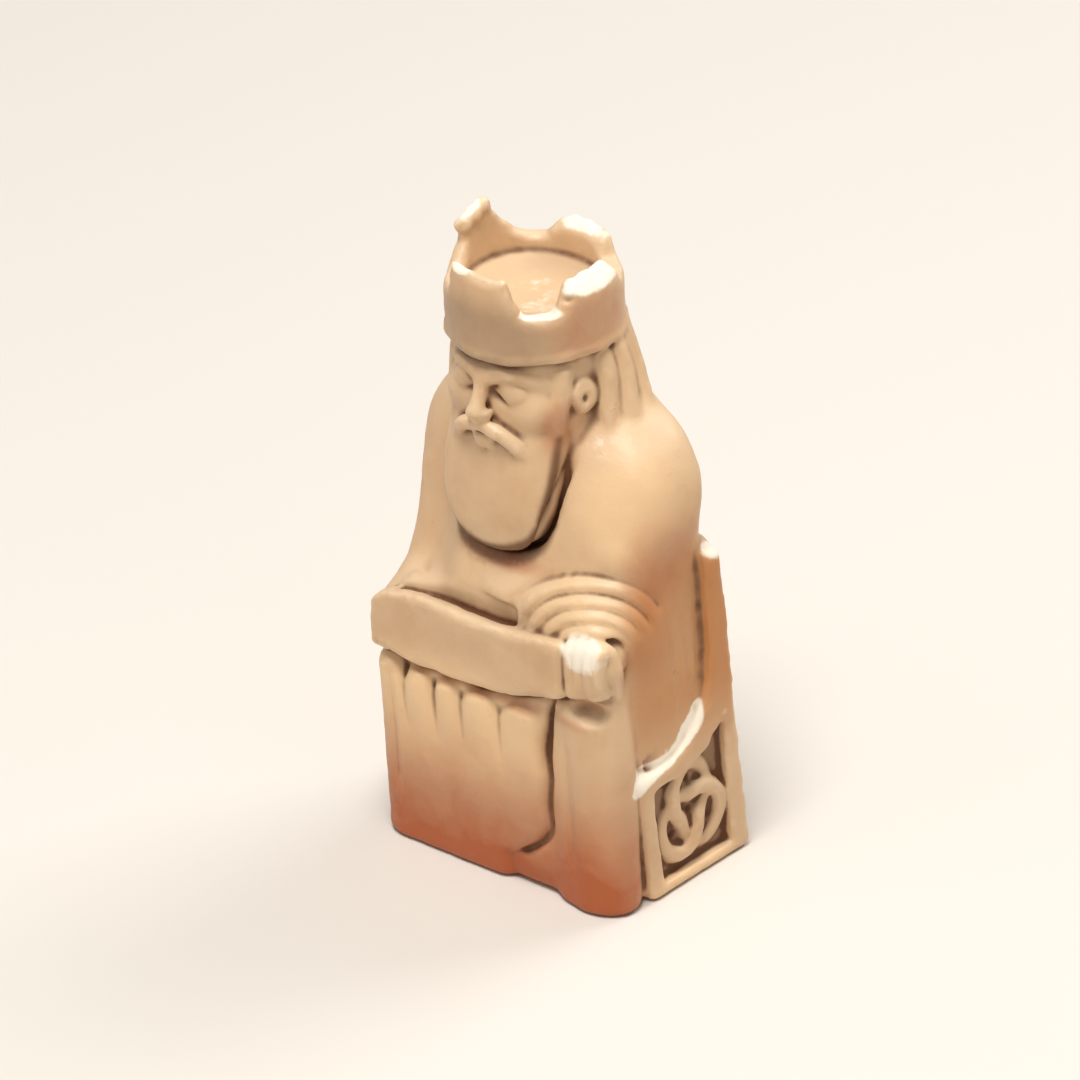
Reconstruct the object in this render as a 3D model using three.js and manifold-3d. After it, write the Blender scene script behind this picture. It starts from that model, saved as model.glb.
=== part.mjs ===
// A seated chess king, cast as one solid piece: crown, bearded head, mantle, sheathed sword and throne.
// Millimetres, +Z up. The king faces -Y, with +X at its left hand. The origin is the middle of the underside.
import * as THREE from "three";
import Module from "manifold-3d";

const wasm = await Module();
wasm.setup();

// The block that the king is carved to fill
const HEIGHT = 80; // floor to the tip of the tallest crown leaf
const WIDTH = 39; // across the throne's side panels
const DEPTH = 24; // front of the sword to the back of the throne

// Throne
const PLATE_THICKNESS = 3; // side panels and back
const POST_WIDTH = 2.6; // front posts of the side panels
const REAR_POST_WIDTH = 3.6;
const RAIL_HEIGHT = 2.4; // arm rails and the frame's top rail
const SILL_HEIGHT = 1.5; // lower border of each framed field
const FIELD_SINK = 1.1; // how deep the fields lie behind their frames
const STRAND_WIDTH = 1.9; // one strand of the knotwork
const BACK_KNOT_WIDTH = 24;

// Sword in its sheath
const SWORD_WIDTH = 8; // height of its flat face, over its far half
const SWORD_MOUTH_WIDTH = 5.8; // the same beside the fist
const SWORD_THICKNESS = 3;

// Dress
const PLEAT_COUNT = 5;
const PLEAT_DEPTH = 0.9; // how far each pleat stands out of the cloth panel
const CUFF_WIDTH = 6; // outside of the last sleeve ring at the wrist
const BEARD_THICKNESS = 2.4; // how far the beard stands off the chest

// Crown
const CROWN_WIDTH = 20.6;
const CROWN_WALL = 2.1;
const CROWN_FOOT = 67; // underside of the band
const CAP_LEVEL = 72; // dished cap inside the band
const NOTCH_LEVELS = [73.6, 74.2, 73.4, 72.8]; // bottoms of the gaps, each after its leaf
const LEAF_LEVELS = [76.6, 77, 78, 77.7]; // worn tops, from the left ear round by the back
const LEAF_COUNT = LEAF_LEVELS.length;

// Figure places are steps of a grid that divides the block, so the pose stays when the block's size changes
const GRID_STEPS = new THREE.Vector3(39, 24, 80);
const step = new THREE.Vector3(WIDTH, DEPTH, HEIGHT).divide(GRID_STEPS);
const spot = (x, y, z) => new THREE.Vector3(x, y, z).multiply(step);
const UP = new THREE.Vector3(0, 0, 1);
const FORWARD = new THREE.Vector3(0, -1, 0);
const side = WIDTH / 2;
const front = -DEPTH / 2;
const back = DEPTH / 2;

const { clamp, lerp, smoothstep } = THREE.MathUtils;

// Value at a place, eased between the two neighbours in a rising list of [place, value]
function eased(pairs, place) {
  const after = pairs.findIndex(([mark]) => mark >= place);
  if (after === 0) return pairs[0][1];
  if (after < 0) return pairs.at(-1)[1];
  const [[from, low], [to, high]] = [pairs[after - 1], pairs[after]];
  return lerp(low, high, smoothstep(place, from, to));
}

// Width factor that closes a limb in a round end over the last `end` of its length
function roundEnds(t, end) {
  const near = clamp(Math.min(t, 1 - t) / end, 0, 1);
  return Math.sqrt(1 - (1 - near) ** 2);
}

// A closed skin bent from a ball: place(t, c, s) gives each point from its share of the way up and the cosine
// and sine of its turn, both 0 at the two ends
function skin(spokes, rings, place) {
  const geometry = new THREE.SphereGeometry(1, spokes, rings);
  const at = geometry.attributes.position;
  for (let i = 0; i < at.count; i += 1) {
    const t = Math.acos(clamp(-at.getY(i), -1, 1)) / Math.PI;
    const reach = Math.hypot(at.getX(i), at.getZ(i));
    const open = reach > 1e-6 ? 1 / reach : 0;
    const point = place(t, at.getX(i) * open, -at.getZ(i) * open);
    at.setXYZ(i, point.x, point.y, point.z);
  }
  return geometry;
}

// Point on a rounded box's outline: squareness 2 is an ellipse and more is boxier
function boxed(c, s, halfWidth, halfDepth, squareness) {
  const power = 2 / squareness;
  return [halfWidth * Math.sign(c) * Math.abs(c) ** power, halfDepth * Math.sign(s) * Math.abs(s) ** power];
}

// A rounded limb along a smooth curve: width(t) is its half width and flat its half height as a share of that
function limb(points, width, { up = UP, flat = 1, sides = 8, rings = 8, end = 0.3 } = {}) {
  const curve = new THREE.CatmullRomCurve3(points);
  return skin(sides, rings, (t, c, s) => {
    const along = (1 - Math.cos(Math.PI * t)) / 2;
    const tangent = curve.getTangent(along);
    const across = new THREE.Vector3().crossVectors(up, tangent).normalize();
    const over = new THREE.Vector3().crossVectors(tangent, across);
    const reach = width(along) * roundEnds(along, end);
    return curve.getPoint(along).addScaledVector(across, c * reach).addScaledVector(over, s * reach * flat);
  });
}

// An ellipsoid with its half sizes in grid steps
function blob(centre, halfSizes, { spokes = 12, rings = 8 } = {}) {
  const size = spot(...halfSizes);
  const ball = skin(spokes, rings, (t, c, s) => {
    const wide = Math.sin(Math.PI * t);
    return new THREE.Vector3(c * wide * size.x, s * wide * size.y, -Math.cos(Math.PI * t) * size.z);
  });
  return ball.translate(centre.x, centre.y, centre.z);
}

// A plate cut from an outline in the X-Z plane, from one Y to another
function plate(outline, nearY, farY) {
  const options = { depth: farY - nearY, bevelEnabled: false, curveSegments: 6 };
  return new THREE.ExtrudeGeometry(outline, options).rotateX(Math.PI / 2).translate(0, farY, 0);
}

// A plate cut from an outline in the Y-Z plane, from one X to another
function sidePlate(outline, nearX, farX) {
  const options = { depth: farX - nearX, bevelEnabled: false, curveSegments: 6 };
  const geometry = new THREE.ExtrudeGeometry(outline, options);
  return geometry.rotateX(Math.PI / 2).rotateZ(Math.PI / 2).translate(nearX, 0, 0);
}

// A closed solid from a shape whose seams and poles have doubled points
function solid(geometry) {
  const at = geometry.attributes.position;
  const corners = geometry.index ? geometry.index.array : Array.from({ length: at.count }, (_, i) => i);
  const [vertProperties, triVerts] = [new Float32Array(at.array), new Uint32Array(corners)];
  const mesh = new wasm.Mesh({ numProp: 3, vertProperties, triVerts, tolerance: 1e-4 });
  mesh.merge();
  return new wasm.Manifold(mesh);
}

const joined = (geometries) => geometries.map(solid).reduce((whole, piece) => whole.add(piece));
const cutBy = (whole, geometries) => geometries.map(solid).reduce((left, tool) => left.subtract(tool), whole);

// The same shapes on the king's other side
function mirrored(geometry) {
  const other = geometry.clone().scale(-1, 1, 1);
  const index = other.index;
  const corners = index ? Array.from(index.array) : [...Array(other.attributes.position.count).keys()];
  for (let i = 0; i < corners.length; i += 3) [corners[i], corners[i + 1]] = [corners[i + 1], corners[i]];
  other.setIndex(corners);
  return other;
}
const bothSides = (geometries) => [...geometries, ...geometries.map(mirrored)];

// Robe over the knees and shins, down to the floor
const KNEE_LEVEL = 31;
const robeFront = front + 1.4 * step.y;
const robeBack = back - PLATE_THICKNESS - step.y;

function robe() {
  const middle = (robeFront + robeBack) / 2;
  return skin(28, 9, (t, c, s) => {
    const rise = clamp((t - 0.1) / 0.8, 0, 1);
    const knee = Math.sqrt(1 - 0.55 * clamp((rise - 0.8) / 0.2, 0, 1) ** 2);
    const wide = (side - 1.1 * step.x) * knee * (1 - 0.03 * Math.sin(Math.PI * rise));
    const [x, y] = boxed(c, s, wide, ((robeBack - robeFront) / 2) * lerp(1, knee, 0.6), 4);
    return new THREE.Vector3(x, middle + y, rise * KNEE_LEVEL * step.z);
  });
}

// Front cloth: a hanging panel whose left edge rounds off at the foot, beside the left leg's robe
const CLOTH_LEFT = -18.3;
const CLOTH_RIGHT = [[0, 3.4], [4.4, 4.9], [6.4, 7.9], [11.5, 9.5], [27, 10.4]];
const CLOTH_TOP = 27;

function frontCloth() {
  const proud = 0.7 * step.y;
  return skin(24, 9, (t, c, s) => {
    const level = lerp(0, CLOTH_TOP, clamp((t - 0.1) / 0.8, 0, 1));
    const right = eased(CLOTH_RIGHT, level);
    const [x, y] = boxed(c, s, (right - CLOTH_LEFT) / 2, 3.6, 5);
    return spot((right + CLOTH_LEFT) / 2 + x, 3.6 + y, level).add(new THREE.Vector3(0, robeFront - proud, 0));
  });
}

// Rounded pleats that hang side by side from under the sword and fade towards the floor
const PLEAT_TOP = 25.6;
const PLEAT_FOOT = 5;
const PLEAT_FLATNESS = 0.5;

function pleats() {
  const pitch = (CLOTH_RIGHT.at(-1)[1] - CLOTH_LEFT - 1.4) / PLEAT_COUNT;
  const half = pitch * 0.6;
  return Array.from({ length: PLEAT_COUNT }, (_, i) => {
    const x = CLOTH_LEFT + 0.9 + (i + 0.5) * pitch;
    const corner = (i === 0 ? 0.5 : 0) * step.y;
    const rest = robeFront - 0.4 * step.y + half * PLEAT_FLATNESS * step.x + corner;
    const line = [
      spot(x, 0, PLEAT_TOP).setY(rest - PLEAT_DEPTH * 0.9),
      spot(x, 0, 17).setY(rest - PLEAT_DEPTH * 0.7),
      spot(x - 0.3, 0, PLEAT_FOOT).setY(rest + 0.4 * step.y),
    ];
    return limb(line, () => half * step.x, { up: FORWARD, flat: PLEAT_FLATNESS, rings: 6, end: 0.16 });
  });
}

// Left leg's robe, rounded over the knee
function leftLeg() {
  const shin = [spot(14.1, -8.2, 26.8), spot(14.2, -8.1, 14), spot(13.7, -8.3, -3)];
  const width = (t) => lerp(4.4, 4.8, t) * step.x;
  return limb(shin, width, { up: FORWARD, flat: 0.68, sides: 13, rings: 7, end: 0.16 });
}

// Trunk under the mantle, from the lap to the neck
const trunkWidth = [
  [24, 17], [33, 17.8], [42, 18.8], [48, 19.3], [52, 18.5], [55.6, 16], [58.5, 12], [61.5, 9.3], [65, 7],
];
const trunkFront = [
  [24, -10.4], [33, -10.4], [36, -9.2], [42, -7.3], [49, -5.9], [54, -3.6], [59, 0], [63, 2],
];
const trunkBack = [[24, 8], [40, 8], [45, 10.2], [53, 10.8], [59, 9.6], [65, 7.4]];
const TRUNK_LEVELS = [24, 65];
const trunkSquareness = (isBehind) => (isBehind ? 4.4 : 2.7);

function trunk() {
  return skin(32, 15, (t, c, s) => {
    const level = lerp(...TRUNK_LEVELS, clamp((t - 0.06) / 0.88, 0, 1));
    const near = eased(trunkFront, level);
    const far = eased(trunkBack, level);
    const width = eased(trunkWidth, level) * (c < 0 ? 0.94 : 1);
    const [x, y] = boxed(c, s, width, (far - near) / 2, trunkSquareness(s > 0));
    return spot(x, (near + far) / 2 + y, level);
  });
}

// How far out the trunk's side lies at one place
function trunkSide(y, level) {
  const [near, far] = [eased(trunkFront, level), eased(trunkBack, level)];
  const off = y - (near + far) / 2;
  const square = trunkSquareness(off > 0);
  const reach = clamp((2 * Math.abs(off)) / (far - near), 0, 0.98);
  return eased(trunkWidth, level) * (1 - reach ** square) ** (1 / square);
}

// The right shoulder is held back and in: the mantle on that side moves with it
const SHOULDER_SET_BACK = 3.8;
const SHOULDER_SET_IN = 1.1;

function heldBack(geometry) {
  const at = geometry.attributes.position;
  for (let i = 0; i < at.count; i += 1) {
    const point = new THREE.Vector3().fromBufferAttribute(at, i).divide(step);
    const share = smoothstep(-point.x, 4, 13) * smoothstep(point.z, 30, 38) * clamp((9 - point.y) / 14, 0, 1);
    at.setX(i, (point.x + SHOULDER_SET_IN * share) * step.x);
    at.setY(i, (point.y + SHOULDER_SET_BACK * share) * step.y);
  }
  return geometry;
}

// Sides of the mantle, between the arms and the throne's back, down to the arm rails
function mantleSide() {
  return skin(16, 8, (t, c, s) => {
    const rise = clamp((t - 0.1) / 0.8, 0, 1);
    const [x, y] = boxed(c, s, lerp(4.6, 4, rise), lerp(6.8, 6, rise), 3.6);
    const hang = lerp(14.5, 45, rise) + lerp(3.4, 0, rise) * smoothstep(y, -1, 6);
    return spot(14 + x, 2 + y, hang);
  });
}

// Folds of the mantle, each ending a little further up the sloping arm rail
const FOLD_COUNT = 4;
const FOLD_PLACES = [-3, 6.4];

function mantleFolds() {
  return Array.from({ length: FOLD_COUNT }, (_, i) => {
    const share = i / (FOLD_COUNT - 1);
    const y = lerp(...FOLD_PLACES, share);
    const line = [
      spot(trunkSide(y, 44) - 3, y, 44), spot(trunkSide(y, 38) - 1, y, 38),
      spot(17.3, y, 29), spot(17.3, y, lerp(15.5, 20.5, share ** 2)),
    ];
    return limb(line, (t) => lerp(1.4, 1.9, t) * step.x, { up: FORWARD, sides: 6, rings: 6, end: 0.2 });
  });
}

// Left sleeve: rings of cloth, each narrower than the one behind it, down to the cuff
const SLEEVE = [spot(13.7, -5.4, 34), spot(16.3, -9.6, 33.8)];
const SLEEVE_AIM = new THREE.Vector3(0.42, -0.9, -0.05).normalize();
const SLEEVE_RINGS = 5;
const SLEEVE_WIDTH = 19.4; // the widest ring, where it leaves the mantle
const SLEEVE_LEVEL = 0.82; // height of the widest ring as a share of its width

function leftSleeve() {
  const arm = new THREE.LineCurve3(...SLEEVE);
  const across = new THREE.Vector3().crossVectors(UP, SLEEVE_AIM).normalize();
  const over = new THREE.Vector3().crossVectors(SLEEVE_AIM, across);
  const rows = SLEEVE_RINGS * 2 + 2;
  return skin(16, rows, (t, c, s) => {
    const row = Math.round(t * rows);
    const ring = clamp(Math.floor((row - 1) / 2), 0, SLEEVE_RINGS - 1);
    const share = ring / (SLEEVE_RINGS - 1);
    const lip = row % 2 === 0 ? 0.92 : 1;
    const half = (lerp(SLEEVE_WIDTH * step.x, CUFF_WIDTH, share ** 0.75) / 2) * lip;
    const outer = c > 0 ? lerp(0.66, 1, share) : 1;
    const [x, z] = boxed(c, s, half * outer, half * lerp(SLEEVE_LEVEL, 1, share), lerp(2.5, 2, share));
    const along = row < 2 ? -0.7 : lerp(0.04, 0.98, (row - 2) / (rows - 3));
    return arm.getPoint(along).addScaledVector(across, x).addScaledVector(over, z);
  });
}

// Right arm: the mantle falls from the shoulder to the forearm that lies behind the sword's far end
function rightArm() {
  const upper = [spot(-11.6, 3, 53), spot(-13.6, 1.4, 43), spot(-14.9, -1.2, 34)];
  const forearm = [spot(-14.3, 0.6, 33), spot(-14.4, -5, 31), spot(-14.6, -8.8, 29.8)];
  return [
    limb(upper, () => 3.1 * step.x, { up: FORWARD, sides: 9, rings: 6, end: 0.25 }),
    limb(forearm, () => 3 * step.x, { sides: 9, rings: 6, end: 0.25 }),
  ];
}

// Sword in its sheath, flat face forward, narrowing and rising towards the fist from a blunt far end
const SWORD_ENDS = [-16.8, 15];
const SWORD_LEVELS = [29.2, 30.9];
const SWORD_BLUNT_END = 0.62; // width of the far end as a share of the full width

function sword() {
  return skin(4, 12, (t, c, s) => {
    const share = clamp((t * 12 - 1) / 10, 0, 1);
    const near = smoothstep(share, 0.4, 1);
    const blunt = lerp(SWORD_BLUNT_END, 1, clamp(share / 0.1, 0, 1));
    const half = (lerp(SWORD_WIDTH, SWORD_MOUTH_WIDTH, near) / 2) * blunt;
    const open = c === 0 && s === 0 ? 0 : 1;
    return new THREE.Vector3(
      lerp(...SWORD_ENDS, share) * step.x,
      front + (SWORD_THICKNESS / 2) * (1 + open * Math.sign(c - s)),
      lerp(...SWORD_LEVELS, near) * step.z + half * open * Math.sign(c + s),
    );
  });
}

// Left fist over the sword: a palm, four fingers that point down and a thumb on the outer side
const FIST = [16.7, -9.2, 32.6];
const FINGER_COUNT = 4;

function leftFist() {
  const palm = blob(spot(...FIST), [2.8, 2.3, 3.2], { spokes: 10, rings: 7 });
  const fingers = Array.from({ length: FINGER_COUNT }, (_, i) => {
    const x = FIST[0] + (i - 1.5) * 1.25 - 0.2;
    const bow = 0.2 * Math.abs(i - 1.5);
    const line = [spot(x, -10, 35.2), spot(x, -11.2 + bow, 32.6), spot(x, -10.9 + bow, 28.8)];
    return limb(line, () => 0.78 * step.x, { up: FORWARD, sides: 6, rings: 5, end: 0.25 });
  });
  const thumb = [spot(18.2, -7.8, 33), spot(18.5, -9.2, 30.6), spot(18.2, -10.2, 28.6)];
  return [palm, ...fingers, limb(thumb, () => step.x, { up: FORWARD, sides: 6, rings: 5, end: 0.35 })];
}

// Right hand, cupped under the sword's far end
const RIGHT_FINGER_COUNT = 3;

function rightHand() {
  return Array.from({ length: RIGHT_FINGER_COUNT }, (_, i) => {
    const x = -16.6 + 1.4 * i;
    const line = [spot(x, -7, 27.6), spot(x, -9.6, 26), spot(x, -10.9, 26)];
    return limb(line, () => 0.9 * step.x, { sides: 6, rings: 5 });
  });
}

// Head: upright and full, as wide as the crown's inside
const HEAD_SIZE = [9.1, 9];
const HEAD_MIDDLE_Y = 1;

function skull() {
  return skin(20, 10, (t, c, s) => {
    const rise = clamp((t - 0.05) / 0.9, 0, 1);
    const wide = roundEnds(rise, 0.35);
    return spot(HEAD_SIZE[0] * c * wide, HEAD_MIDDLE_Y + HEAD_SIZE[1] * s * wide, lerp(51, 71.5, rise));
  });
}

// Point on the front of the head, standing `proud` off it
function faceSpot(x, z, proud) {
  const depth = HEAD_SIZE[1] * Math.sqrt(1 - (x / HEAD_SIZE[0]) ** 2);
  return spot(x, HEAD_MIDDLE_Y - depth - proud, z);
}

// Face: calm and regular, in thirds from brow to nose to chin
const BROW_LEVEL = 65.2;
const EYE_LEVEL = 63.1;
const NOSE_LEVEL = 59.6;
const MOUTH_LEVEL = 57;

function face() {
  const bridge = [faceSpot(0, BROW_LEVEL, -0.4), faceSpot(0, 62, 0.5), faceSpot(0, NOSE_LEVEL + 0.6, 1)];
  const nose = limb(bridge, (t) => lerp(0.8, 1.5, t) * step.x, { up: FORWARD, sides: 7, rings: 6, end: 0.2 });
  const lip = blob(faceSpot(0, MOUTH_LEVEL - 0.7, 0.1), [1.8, 0.8, 0.6], { spokes: 8, rings: 4 });
  const arch = [[0.6, BROW_LEVEL - 0.3, -0.2], [3.6, BROW_LEVEL, -0.2], [7, BROW_LEVEL - 1.2, -0.4]];
  const brow = limb(arch.map((place) => faceSpot(...place)), () => 0.8 * step.z, {
    sides: 6, rings: 6, end: 0.25,
  });
  const eye = blob(faceSpot(3.4, EYE_LEVEL, -0.3), [1.6, 0.8, 0.8], { spokes: 8, rings: 6 });
  const ear = blob(spot(8.9, -0.4, 61.6), [1.2, 1.7, 2.3], { spokes: 8, rings: 6 });
  const droop = [[0.2, MOUTH_LEVEL + 1.3, 0], [3, MOUTH_LEVEL + 0.5, 0], [5.4, MOUTH_LEVEL - 2.4, -0.3]];
  const whisker = limb(droop.map((place) => faceSpot(...place)), (t) => lerp(1, 0.7, t) * step.x, {
    sides: 6, rings: 6, end: 0.25,
  });
  return [nose, lip, ...bothSides([brow, eye, ear, whisker])];
}

// Beard: a long smooth tongue that keeps the jaw's width and stands off the chest
const beardWidth = [[42.2, 3], [43.6, 5.2], [46.8, 7], [50, 7.7], [57, 8.2], [61, 8]];
const beardFront = [[42.2, -8.8], [46, -9], [52, -8], [57, -6.6], [61, -5.8]];
const BEARD_LEVELS = [42.2, 61];

function beard() {
  return skin(18, 10, (t, c, s) => {
    const level = lerp(...BEARD_LEVELS, clamp((t - 0.06) / 0.88, 0, 1));
    const thick = BEARD_THICKNESS + 8 * step.y * smoothstep(level, ...BEARD_LEVELS);
    const [x, y] = boxed(c, s, eased(beardWidth, level) * step.x, thick / 2, 2.4);
    return new THREE.Vector3(x, eased(beardFront, level) * step.y + thick / 2 + y, level * step.z);
  });
}

// Hair: wavy locks from under the crown down onto the shoulders and the back
const LOCK_COUNT = 7;
const hairWidth = [[54, 15], [59, 12.6], [64, 10.6], [69, 9.5]];
const HAIR_LEVELS = [54, 69];

function hair() {
  const cap = skin(20, 7, (t, c, s) => {
    const level = lerp(...HAIR_LEVELS, clamp((t - 0.08) / 0.84, 0, 1));
    const [x, y] = boxed(c, s, eased(hairWidth, level), 5.8, 2.2);
    return spot(x, 4.6 + y, level);
  });
  const locks = Array.from({ length: LOCK_COUNT }, (_, i) => {
    const turn = lerp(-0.36, 0.36, i / (LOCK_COUNT - 1)) * Math.PI;
    const [out, rear] = [Math.sin(turn), Math.cos(turn)];
    const crownEnd = spot(8.4 * out, 2.6 + 7 * rear, 68);
    const line = [crownEnd, spot(10.6 * out, 3.4 + 6.6 * rear, 60), spot(12.4 * out, 4 + 6.6 * rear, 47.5)];
    return limb(line, () => 1.8 * step.x, { up: FORWARD, sides: 6, rings: 5, end: 0.2 });
  });
  return [cap, ...locks];
}

// Crown: a band with worn leaves at the front, back and sides, around a dished cap
const crownMiddle = 1.5 * step.y;
const TAU = 2 * Math.PI;

// Level of the crown's edge in one direction: flat-topped leaves between round-bottomed notches
const LEAF_SHARES = [0.5, 0.48, 0.3, 0.6]; // flat part of each leaf, as a share of half its pitch
const SHOULDER_SHARE = 0.32;

function leafLevel(turn) {
  const place = ((turn / TAU) * LEAF_COUNT + LEAF_COUNT) % LEAF_COUNT;
  const leaf = Math.round(place) % LEAF_COUNT;
  const away = Math.abs(place - Math.round(place)) * 2;
  const fall = clamp((away - LEAF_SHARES[leaf]) / SHOULDER_SHARE, 0, 1);
  const notch = NOTCH_LEVELS[Math.floor(place) % LEAF_COUNT];
  return lerp(LEAF_LEVELS[leaf], notch, Math.sin((fall * Math.PI) / 2));
}

function crown() {
  const outer = CROWN_WIDTH / 2;
  const inner = outer - CROWN_WALL;
  const band = lerp(CROWN_FOOT, NOTCH_LEVELS[0], 0.5);
  const profile = [
    [0, CROWN_FOOT], [outer - 0.6, CROWN_FOOT], [outer, CROWN_FOOT + 0.6], [outer - 0.1, 0], [outer + 0.2, 1],
    [inner + 0.4, 1], [inner, CAP_LEVEL], [inner * 0.6, CAP_LEVEL - 0.5], [0, CAP_LEVEL - 0.2],
  ];
  const geometry = new THREE.LatheGeometry(profile.map(([radius, z]) => new THREE.Vector2(radius, z)), 44);
  const at = geometry.attributes.position;
  for (let i = 0; i < at.count; i += 1) {
    const [x, y, share] = [at.getX(i), -at.getZ(i), at.getY(i)];
    const level = share > 1 ? share : lerp(band, leafLevel(Math.atan2(y, x)), share);
    at.setXYZ(i, x, crownMiddle + y, level * step.z);
  }
  return geometry;
}

// The leaf over the right ear kept its knobbed tip, three lobes
function leafTip() {
  const lobes = [[-1.4, 77.6], [2.2, 78.4], [0.4, 78.8]];
  return lobes.map(([y, z]) => {
    const place = new THREE.Vector3(-(CROWN_WIDTH - CROWN_WALL) / 2, crownMiddle + y * step.y, z * step.z);
    return blob(place, [1.2, 1.5, 1.2], { spokes: 8, rings: 6 });
  });
}

// Throne sides: framed panels under arm rails that sweep up into the rear posts
const TIP_LEVEL = 16.6 * step.z;
const RAIL_TOP = 28.1 * step.z; // where the rail's curve meets the rear post
const tipFront = -6.8 * step.y;
const footFront = -5.4 * step.y;
const postFront = back - REAR_POST_WIDTH - 2.4 * step.y;
const BACK_TOP = 41.6 * step.z;
const lean = 2.4 * step.y; // how far the throne's back leans forward at its top

function armOutline() {
  const outline = new THREE.Shape();
  outline.moveTo(footFront, 0);
  outline.lineTo(tipFront, TIP_LEVEL);
  outline.quadraticCurveTo(postFront - 1.2 * step.y, TIP_LEVEL + 0.6 * step.z, postFront, RAIL_TOP);
  outline.lineTo(back - lean, RAIL_TOP);
  outline.lineTo(back, 0);
  return outline;
}

function fieldOutline() {
  const near = tipFront + POST_WIDTH;
  const far = back - REAR_POST_WIDTH;
  const top = TIP_LEVEL - RAIL_HEIGHT;
  const outline = new THREE.Shape();
  outline.moveTo(near, SILL_HEIGHT);
  outline.lineTo(near, top);
  outline.quadraticCurveTo(lerp(near, far, 0.7), top + 0.4 * step.z, far, top + 3.6 * step.z);
  outline.lineTo(far, SILL_HEIGHT);
  return outline;
}

// A closed curve that winds `turns` times round its middle and waves in and out `waves` times
function knot(turns, waves, place) {
  const count = turns * waves * 6;
  const points = Array.from({ length: count }, (_, i) => {
    const turn = (i / count) * TAU;
    const reach = (2 + Math.cos(waves * turn)) / 3;
    return place(reach * Math.cos(turns * turn), reach * Math.sin(turns * turn), Math.sin(waves * turn));
  });
  return new THREE.CatmullRomCurve3(points, true);
}

// A strap of oval section laid along a closed curve, its face turned to one side
function strap(curve, outward, width, height, steps) {
  const geometry = new THREE.TorusGeometry(2, 1, 5, steps);
  const at = geometry.attributes.position;
  for (let i = 0; i < at.count; i += 1) {
    const [x, y, z] = [at.getX(i), at.getY(i), at.getZ(i)];
    const place = (Math.atan2(y, x) / TAU + 1) % 1;
    const across = new THREE.Vector3().crossVectors(curve.getTangent(place), outward).normalize();
    const point = curve.getPoint(place).addScaledVector(across, ((Math.hypot(x, y) - 2) * width) / 2);
    point.addScaledVector(outward, z * height);
    at.setXYZ(i, point.x, point.y, point.z);
  }
  return geometry;
}

const STRAP_RELIEF = 0.45 * FIELD_SINK; // half thickness of a strap
const KNOT_FLOAT = 0.24 * FIELD_SINK; // how far the straps rise and dip as they cross

function sideKnot() {
  const near = tipFront + POST_WIDTH;
  const far = back - REAR_POST_WIDTH;
  const top = TIP_LEVEL - RAIL_HEIGHT + 1.4 * step.z;
  const [halfY, halfZ] = [(far - near - STRAND_WIDTH) / 2, (top - SILL_HEIGHT - STRAND_WIDTH / 2) / 2];
  const curve = knot(2, 3, (u, v, w) => new THREE.Vector3(
    side - FIELD_SINK + (1 + w) * KNOT_FLOAT,
    (near + far) / 2 - v * halfY,
    (top + SILL_HEIGHT) / 2 + u * halfZ,
  ));
  return strap(curve, new THREE.Vector3(1, 0, 0), STRAND_WIDTH, STRAP_RELIEF, 39);
}

function throneBack() {
  const [low, high] = [side, side - 0.6 * step.x];
  const outline = new THREE.Shape();
  outline.moveTo(-low, 0);
  outline.lineTo(-high, BACK_TOP - 2.4 * step.z);
  outline.quadraticCurveTo(-high + 0.2, BACK_TOP, -high + 2.6 * step.x, BACK_TOP);
  outline.lineTo(high - 2.6 * step.x, BACK_TOP);
  outline.quadraticCurveTo(high - 0.2, BACK_TOP, high, BACK_TOP - 2.4 * step.z);
  outline.lineTo(low, 0);
  const board = plate(outline, back - PLATE_THICKNESS, back);
  return leant(board);
}

// Moves each point of the throne's back forward with its height
function leant(geometry) {
  const at = geometry.attributes.position;
  for (let i = 0; i < at.count; i += 1) {
    at.setY(i, at.getY(i) - lean * (at.getZ(i) / BACK_TOP));
  }
  return geometry;
}

function backField() {
  const reach = side - REAR_POST_WIDTH;
  const outline = new THREE.Shape();
  outline.moveTo(-reach, SILL_HEIGHT * 2);
  outline.lineTo(-reach, BACK_TOP - REAR_POST_WIDTH);
  outline.lineTo(reach, BACK_TOP - REAR_POST_WIDTH);
  outline.lineTo(reach, SILL_HEIGHT * 2);
  return leant(plate(outline, back - FIELD_SINK, back + 1));
}

function backKnot() {
  const reach = (BACK_KNOT_WIDTH - STRAND_WIDTH) / 2;
  const curve = knot(2, 5, (u, v, w) => new THREE.Vector3(
    v * reach,
    back - FIELD_SINK + (1 + w) * KNOT_FLOAT,
    BACK_TOP / 2 + u * reach * 1.25,
  ));
  return leant(strap(curve, new THREE.Vector3(0, 1, 0), STRAND_WIDTH * 1.2, STRAP_RELIEF, 60));
}

function throne() {
  const arm = sidePlate(armOutline(), side - PLATE_THICKNESS, side);
  const field = sidePlate(fieldOutline(), side - FIELD_SINK, side + 1);
  const frames = cutBy(joined([throneBack(), ...bothSides([arm])]), [backField(), ...bothSides([field])]);
  return frames.add(joined([backKnot(), ...bothSides([sideKnot()])]));
}

// Solid middle of the block, behind the robe and under the trunk, leaning with the throne's back
function core() {
  const size = new THREE.Vector3(WIDTH - 2 * PLATE_THICKNESS, 15 * step.y, (KNEE_LEVEL + 1) * step.z);
  const box = new THREE.BoxGeometry(size.x, size.y, size.z);
  return leant(box.translate(0, back - PLATE_THICKNESS / 2 - size.y / 2, size.z / 2));
}

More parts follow.
